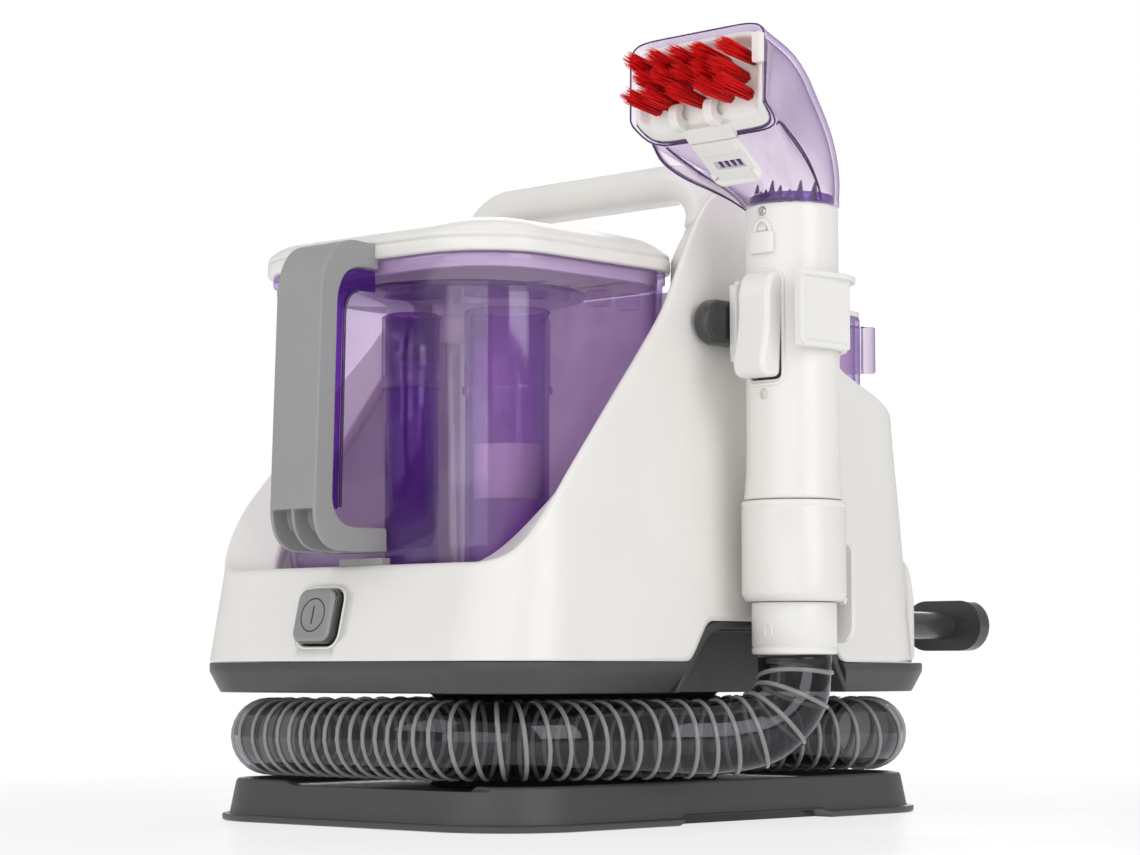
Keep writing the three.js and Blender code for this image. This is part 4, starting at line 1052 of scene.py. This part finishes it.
def wrapped_pad(name, outline, low, high, width=0.5):
    """A raised pad that follows the barrel's surface under a flat outline, with a softened rim."""
    middle = np.mean(np.array(outline), axis=0)
    levels = [(1.0, low), (1.0, high - width), (0.94, high - 0.25 * width), (0.86, high), (0.5, high),
              (0.1, high)]
    rows = [[on_round(WAND_R, *(middle + share * (np.array(q) - middle)), out) for q in outline]
            for share, out in levels]
    return rings(name, rows, WHITE, "wand")


def box_outline(u0, u1, z0, z1, radius, steps=6):
    """A rounded box with points close enough together to wrap round the wand."""
    outline = rounded_outline(box(u0, u1, z0, z1), radius, steps)
    return divided(outline, lambda length: max(1, int(length / 2.5)))


def add_barrel_marks():
    """The recess rim round the trigger, the catch and screw above it, and the sleeve's small dimple."""
    rim = [(-0.9, -0.6), (-0.9, 0.35), (-0.5, 0.75), (0.5, 0.75), (0.9, 0.35), (0.9, -0.6)]
    frame_line = box_outline(-10.2, 10.2, 199.5, 251.5, 5.5)
    wrapped_frame("trigger_rim", frame_line, WAND_R, rim, WHITE, "wand")
    add_catch()
    add_barrel_screw(279.2)
    oval = [(2.2 * u, 87.5 + 2.9 * v) for u, v in circle(0, 0, 1)]
    dimple = wrapped_frame("sleeve_mark", oval, SWIVEL_R, raised_line(0.4, 0.15, 0.35), TRIM, "swivel")


def add_catch():
    pad = wrapped_pad("catch_body", box_outline(-6.3, 6.3, 259.6, 269.6, 0.9, 3), -0.6, 2.3)
    stand_in(pad, "white_trim", "nozzle_catch")
    turns = np.linspace(0, math.pi, 25)
    bow = [on_round(WAND_R, -4.2 * math.cos(t), 269.4 + 5.6 * math.sin(t), 0.5) for t in turns]
    rings("catch_bow", tube_points(np.array(bow), 1.05, 10), WHITE, "wand")
    tongue = wrapped_pad("catch_tongue", box_outline(-2.6, 2.6, 269.9, 272.2, 0.6, 3), -0.6, 0.9, 0.3)


def add_barrel_screw(z):
    seat = Matrix.Translation(on_round(WAND_R, 0, z, -0.2)) @ Matrix.Rotation(math.pi / 2, 4, "X")
    discs = ((2.1, -1), (2.1, 0.5), (1.8, 0.85), (1.2, 1.0))
    levels = [(circle(0, 0, size), height) for size, height in discs]
    head = rings("barrel_screw", seated(seat, levels), STEEL, "wand")
    cut_with(head, *[seated_tool(seat, box(-a, a, -b, b), 0.45, 2) for a, b in ((1.1, 0.28), (0.28, 1.1))])
    line = raised_line(0.45, 0.2, 0.4)
    ring = wrapped_frame("screw_rim", circle(0, z, 2.7), WAND_R, line, WHITE, "wand")


def raised_line(half, shoulder, crest):
    """The profile of a thin line that stands up from a surface, as (aside, out)."""
    return [(-half, -0.5), (-half, shoulder), (0, crest), (half, shoulder), (half, -0.5)]


def add_trigger(x, y):
    outline = [(y - 15, 251), (y - 21, 251)]
    outline += bend_points((y - 22.5, 251), (y - 28, 250), (y - 29.5, 240), 8)
    outline += bend_points((y - 29.5, 239), (y - 28.5, 226), (y - 33, 212), 10)
    outline += bend_points((y - 33, 211), (y - 34, 203), (y - 28, 202.2), 8)
    outline += [(y - 20, 202.6), (y - 17.5, 236), (y - 12.5, 241), (y - 11.5, 249)]
    lever = prism("trigger_lever", "X", outline, x - 9.2, x + 9.2, TRIM, "trigger")
    round_edges(lever, 2.6, 5, 30)
    stand_in(lever, "white_trim", "trigger")


def clip_band(x, y, inner, outer, left, right):
    bow = [(x + inner, right), (x + outer, right)] + arc(x, y, outer, 0, 180, 40)
    bow += [(x - outer, left), (x - inner, left)] + arc(x, y, inner, 180, 0, 40)
    return bow


def add_clip(x, y):
    """The wand's clip: a bow round the back of the barrel, a framed plate and a flange on top."""
    inner, wall, low, high = 21.8, 3.2, 215.5, 250.0
    outer = inner + wall
    left, right = y - 12, y - 26
    band = clip_piece("clip_bow", clip_band(x, y, inner, outer, left, right), low, high, 0.6)
    stand_in(band, "white_trim", "wand_clip")
    rim = rounded_outline(box(right - 0.4, y + 9, low, high), [3.5, 1.5, 1.5, 3.5], 6)
    hollow = rounded_outline(box(right + 2.4, y + 8, low + 2.6, high - 2.6), [2.2, 0.8, 0.8, 2.2], 6)
    plate = prism("clip_face", "X", rim, x + outer - 0.6, x + outer + 1.6, TRIM, "clip")
    cut_with(plate, tool("X", hollow, x + outer + 0.6, x + outer + 4))
    round_edges(plate, 0.4, 2, 40)
    flange_line = [(x + inner + 0.5, right), (x + outer + 2.4, right + 0.5), (x + outer + 3.2, y - 6)]
    flange_line += arc(x, y, outer + 4.2, 4, 84, 24) + arc(x, y, inner + 0.8, 84, 0, 24)
    clip_piece("clip_flange", flange_line, high - 2.4, high + 0.1, 0.5)
    arm = [(x - outer + 0.2, y - 9), (x - inner + 0.1, y - 9), (x - inner + 0.4, y - 13.6),
           (x - inner - 0.4, y - 14.6), (x - outer - 0.8, y - 14.6), (x - outer - 0.4, y - 11)]
    clip_piece("clip_left_arm", arm, low, high - 2, 0.7)
    tab_line = box(x - outer, x - inner - 0.6, y - 15, y - 11)
    tab = prism("clip_tab", "Z", tab_line, low - 3.5, low + 1, TRIM, "clip")
    round_edges(tab, 0.5, 2)
    add_side_hook()
    add_wand_bracket()


def clip_piece(name, outline, low, high, width):
    """A level piece of the clip with rounded edges."""
    return round_edges(prism(name, "Z", outline, low, high, TRIM, "clip"), width, 3)


def add_side_hook():
    """A dark stadium plate with a dished face, on a stem from the body's side."""
    def level(x, d):
        return [(x, y, z) for y, z in stadium(-30 + d, 12 - d, 220 + d, 241 - d, 18)]

    steps = ((100.4, 1.4), (100.8, 0.5), (101.8, 0), (106.2, 0), (107.3, 0.4), (107.9, 1.2), (108.0, 2.0),
             (107.4, 2.9), (107.2, 4.2))
    stand_in(stack("side_hook_plate", level, steps, HOOK_GREY, "root"), "dark_hook", "side_hook")
    outline = stadium(-21, 3, 225, 236, 10)
    prism("side_hook_stem", "X", outline, housing_half(225), 101, HOOK_GREY, "root")


def add_wand_bracket():
    """The flat arm from the body's side that the wand's sleeve rests against, with its small screw hole."""
    low, high = node_box("lower_bracket")
    x0, y0, z0 = low
    x1, y1, z1 = high
    corners = [(x0, z0 + 1), (x1, z0), (x1, z1), (x0, z1)]
    outline = rounded_outline(corners, [0.5, 10, 5, 0.5], 10)
    plate = prism("bracket_plate", "Y", outline, y0, y1, WHITE, "root")
    cut_with(plate, tool("Y", circle(x1 - 5, 102, 2.2), y0 - 2, y1 + 2))
    stand_in(round_edges(plate, 0.8, 3, 40), "white_trim", "lower_bracket")


# Each section is cut from its low front point to its high rear point: (low y, low z, high y, high z,
# half its width, how square it is, and how far its front is bent out at the chin).
NOZZLE_SECTIONS = [
    (-20.5, 283.3, 23.5, 283.3, 22, 2, 0), (-24.3, 286.3, 20, 298, 23.5, 2.5, 0),
    (-30.6, 291.2, 8.5, 315, 26.5, 3.5, 0.5), (-38.1, 297.1, -13.5, 333, 31.5, 5, 3),
    (-45.7, 303.1, -35.5, 346, 36.5, 7, 7), (-52, 308, -64.5, 354.5, 39.7, 8, 10.8)]
CHIN = 0.215
NOZZLE_WALL, LINE_R, NOZZLE_SIDES = 2.2, 0.42, 96
MOUTH = np.array(NOZZLE_SECTIONS[-1], float)
BEHIND_MOUTH = np.array(NOZZLE_SECTIONS[-2], float)


def nozzle_point(section, angle, wall):
    """A point of one nozzle section: a rounded slot whose front is bent out at the height of the chin."""
    low_y, low_z, high_y, high_z, half, square, bend = section
    deep = math.hypot(high_y - low_y, high_z - low_z) / 2
    c, s = math.cos(angle), math.sin(angle)
    size = (abs(c) ** square + abs(s) ** square) ** (-1 / square)
    share = (1 + s * size * (1 - wall / deep)) / 2
    out = share / CHIN if share < CHIN else (1 - share) / (1 - CHIN)
    return (WAND_X + c * size * (half - wall), low_y + share * (high_y - low_y) - bend * out,
            low_z + share * (high_z - low_z))


def nozzle_ring(section, wall):
    return [nozzle_point(section, 2 * math.pi * (k + 0.5) / NOZZLE_SIDES, wall) for k in range(NOZZLE_SIDES)]


def mouth_ring(share, wall):
    """A ring inside the mouth, share of the way back to the section behind it."""
    return nozzle_ring(MOUTH + share * (BEHIND_MOUTH - MOUTH), wall)


def bead(name, points, radius, material, body):
    """A thin round line through the given points."""
    rings(name, tube_points(np.array(points, float), radius, 8), material, body)


def add_nozzle(x):
    sections, _ = curve_through(NOZZLE_SECTIONS, 40)
    outside = [nozzle_ring(s, 0) for s in sections]
    lip = [mouth_ring(-0.05, 0.3), mouth_ring(-0.07, 0.9), mouth_ring(-0.05, 1.8)]
    inside = [nozzle_ring(s, NOZZLE_WALL) for s in reversed(sections)]
    head = rings("nozzle_shell", outside + lip + inside, LILAC, "nozzle", closed_rows=True)
    stand_in(head, "purple_clear", "nozzle_head")
    for side in (-1, 1):
        add_flange(side, sections)
    for name, share, wall in (("mouth_bead", -0.05, 0.4), ("inner_bead", 0.10, 2.0)):
        loop = mouth_ring(share, wall)
        rows = tube_points(np.array(loop + loop[:2], float), LINE_R, 8)[:-2]
        rings(f"nozzle_{name}", rows, PURPLE_RIM, "nozzle", closed_rows=True)
    add_neck_teeth(x)
    add_insert()
    add_bristles(x)
    add_latch(x)


def add_flange(side, sections):
    """The clear side wall that stands out past the recessed underside, with a dark line on each edge."""
    hand = "left" if side < 0 else "right"
    inner_line, outer_line, rows = [], [], []
    for i, section in enumerate(sections):
        run = i / (len(sections) - 1)
        turn = 45 + 22 * (1 - run) ** 2 if side < 0 else 45 + 32 * (1 - run) ** 0.7
        corner = np.array(nozzle_point(section, math.radians(270 + side * turn), -0.1))
        flat = np.array([WAND_X + side * (section[4] - 9.4), section[0], section[1]])
        inner = corner + (min(1.0, 1.6 * run) if side < 0 else 0.0) * (flat - corner)
        swell = (6.4 if side < 0 else 3.0) * math.sin(math.pi * run ** 0.9)
        outer = corner + np.array([0.35 * side, -0.56, -0.70]) * swell
        middle = 0.5 * (inner + outer) + np.array([0.1 * side, -0.35, -0.4]) * 0.25 * swell
        thick = np.array([-0.5 * side, 0.4, 0.45])
        inner_line.append(inner)
        outer_line.append(outer)
        line = [inner, middle, outer]
        rows.append([tuple(q) for q in line] + [tuple(q + thick) for q in reversed(line)])
    rings(f"nozzle_flange_{hand}", rows, LILAC, "nozzle")
    for place, line in (("inner", inner_line), ("outer", outer_line)):
        bead(f"flange_{place}_line_{hand}", line, LINE_R, PURPLE_RIM, "nozzle")


def add_neck_teeth(x):
    """A dark collar inside the nozzle's neck, with a comb of small gussets standing on its front."""
    collar = [(17.6, 283.5), (19.6, 283.5), (19.6, 287.6), (19.0, 288.2), (18.2, 288.2), (17.6, 287.6)]
    turned("neck_collar", collar, x, WAND_Y, DEEP_PURPLE, "nozzle", 72)
    for k in range(9):
        u = -17 + 4.25 * k
        front = WAND_Y + 0.6 - math.sqrt(19.6 ** 2 - u * u)
        height = 7.5 + 2.5 * math.sin(1.9 * k)
        tooth = [(front, 283.6), (front + 7, 283.6), (front + 5.2, 284.6 + height),
                 (front + 3.2, 284 + 0.6 * height)]
        piece = prism(f"neck_tooth_{k}", "X", tooth, x + u - 0.6, x + u + 0.6, PURPLE_RIM, "nozzle")
        round_edges(piece, 0.25, 2)


def add_insert():
    """The white insert in the mouth: a raised rim round a recessed floor, and two hooks over its chin."""
    steps = [(0.42, 22), (0.42, 12), (0.42, 5), (0.40, 2.9), (0.06, 2.5), (0.02, 2.8), (0.0, 3.4), (0.0, 4.7),
             (0.02, 5.3), (0.07, 5.7), (0.20, 6.6), (0.24, 7.4), (0.25, 9), (0.25, 14), (0.25, 22)]
    stand_in(stack("insert_block", mouth_ring, steps, TRIM, "brush"), "white_trim", "brush_insert")
    curl = [(-56.5, 313.2), (-62.5, 311.6), (-66.6, 313), (-68.6, 316.4), (-68.8, 320.5), (-67.4, 323.4),
            (-64.4, 324.2), (-63.2, 322.0), (-64.6, 319.6), (-64.2, 317.6), (-61.5, 316.6), (-56.5, 317.2)]
    outline = rounded_outline(curl, 1.2, 3)
    for k, place in enumerate((121.5, 141.8)):
        hook = prism(f"insert_hook_{k}", "X", outline, place - 2.5, place + 2.5, TRIM, "brush")
        round_edges(hook, 0.8, 3, 35)
    lug_outline = rounded_outline(box(168.6, 173.2, 335.5, 349), 1.0, 3)
    lug = prism("insert_lug", "Y", lug_outline, -69.6, -65.0, TRIM, "brush")
    round_edges(lug, 0.6, 2)


BRISTLES_A_TUFT, TUFT_R = 110, 2.75
TUFT_ROWS = ((-27, -16.5, -1, 15, 26.5), (-20, -9.5, 2, 13, 23.5), (-25, -12.5, 0, 13, 28))


def add_bristles(x):
    """Tufts of fine tapered bristles on a low pad, each bristle with its own slight lean."""
    draw = random.Random(7)
    points, faces = [], []
    tilt = math.radians(9.5)
    for row, places in enumerate(TUFT_ROWS):
        for place in places:
            root = Vector((x + place, -60.6, 323.5 + 8 * row))
            for _ in range(BRISTLES_A_TUFT):
                angle, spread = draw.uniform(0, 2 * math.pi), math.sqrt(draw.random())
                u, v = math.cos(angle) * spread, math.sin(angle) * spread
                start = root + Vector((TUFT_R * u, 0.9 * spread * spread, TUFT_R * v))
                lean = Vector((0.05 * u + draw.gauss(0, 0.02), -math.cos(tilt),
                               math.sin(tilt) + 0.05 * v + draw.gauss(0, 0.02))).normalized()
                tip = start + lean * (draw.uniform(20.5, 26.0) - 2.0 * spread * spread)
                side = lean.cross(UP).normalized()
                over = side.cross(lean)
                base = len(points)
                for here, radius in ((start, 0.30), (start.lerp(tip, 0.7), 0.26), (tip, 0.09)):
                    points += [tuple(here + way * radius) for way in (side, over, -side, -over)]
                for level in (0, 4):
                    for j in range(4):
                        a, b = base + level + j, base + level + (j + 1) % 4
                        faces.append((a, b, b + 4, a + 4))
                faces.append((base + 3, base + 2, base + 1, base))
                faces.append((base + 8, base + 9, base + 10, base + 11))
    tufts = object_from("bristle_tufts", points, faces, RED, "brush")
    stand_in(tufts, "bristle_red", "bristle_pad")


def add_latch(x):
    """The latch under the chin: a tab with a window over dark teeth, a raised panel and a rolled end."""
    seat = Matrix.Translation((x, -52, 308)) @ Matrix.Rotation(math.radians(-38.1), 4, "X")
    half, corner, reach, thick = 13.5, 8.5, 20, 2.9
    plan = [(-half, -1), (half, -1)] + arc(corner, reach, 5, 0, 90, 8) + arc(-corner, reach, 5, 90, 180, 8)
    tab = seated_prism("latch_tab", seat, plan, -thick, -0.4, TRIM, "latch")
    cut_with(tab, seated_tool(seat, rounded_outline(box(-8.5, 8.5, 10.8, 16), 1.2, 4), -6, 5))
    stand_in(round_edges(tab, 0.6, 3), "white_trim", "nozzle_latch")
    rim_path = [(-12.0, 17), (-12.0, reach)] + arc(-corner, reach, 3.5, 180, 90, 8)
    rim_path += arc(corner, reach, 3.5, 90, 0, 8) + [(12.0, 17)]
    rim_points = np.array([tuple(seat @ Vector((u, v, -3.1))) for u, v in rim_path])
    rings("latch_lip", tube_points(rim_points, 1.5, 12), TRIM, "latch")
    raised = rounded_outline(box(-11, 11, -0.6, 6.5), [0.5, 0.5, 3, 3], 5)
    panel = seated_prism("latch_panel", seat, raised, -3.7, -2.6, TRIM, "latch")
    round_edges(panel, 0.5, 3)
    for k in range(5):
        u = -7.2 + 3.6 * k
        tooth = box(u - 1.1, u + 1.1, 10, 17)
        seated_prism(f"latch_rib_{k}", seat, tooth, -0.3, 0.2, PURPLE_RIM, "nozzle")
    bridge_plan = rounded_outline(box(-half, half, -10, -1.6), [2, 2, 0.5, 0.5], 4)
    bridge = seated_prism("insert_bridge", seat, bridge_plan, -thick, 0.6, TRIM, "brush")
    round_edges(bridge, 0.6, 3)


# ------------------------------------------------------------------ nodes that keep their CAD shape
def dress_nodes():
    """Materials for the nodes that have no finer piece in their place."""
    looks = {
        CHASSIS_GREY: ["exhaust_grille"],
        BLACK: ["pedestal", "hose_port", "power_switch", "cord_gland", "fan_housing", "pump", "suction_duct",
                "tank_valve", "spray_valve"],
        RUBBER: ["foot_front_left", "foot_front_right", "foot_rear_left", "foot_rear_right"],
        SEAL: ["lid_seal"],
        WHITE: ["clean_tank_lid"],
        # The parts inside the tanks take the whiter copy of white: painted light for the dim tank interior.
        PAINTED_LIGHT_WHITE: ["motor_cover", "tank_cradle", "rear_cradle"],
        TRIM: ["float", "filler_cap"],
        GREY: ["tank_catch"],
        HOOK_GREY: ["cord_hook_right", "cord_hook_left"],
        STEEL: ["vacuum_motor", "impeller", "trigger_pin", "trigger_spring"],
        BOARD: ["circuit_board"],
    }
    for material, names in looks.items():
        for name in names:
            keep(name, material)


def add_floor():
    bpy.ops.mesh.primitive_plane_add(size=12, location=(0, 0, -0.0002))
    floor = bpy.context.object
    floor.name = "floor"
    floor.data.materials.append(floor_material(0.26))


add_camera()
add_hose()
add_lights()
add_world()
add_floor()
add_base()
add_chassis()
add_housing()
add_carry_handle()
add_front_tank()
add_tank_handle()
add_rear_tank()
add_wand()
dress_nodes()

scene = bpy.context.scene
scene.view_settings.view_transform = "Standard"
scene.cycles.transparent_max_bounces = 32
scene.cycles.max_bounces = 14
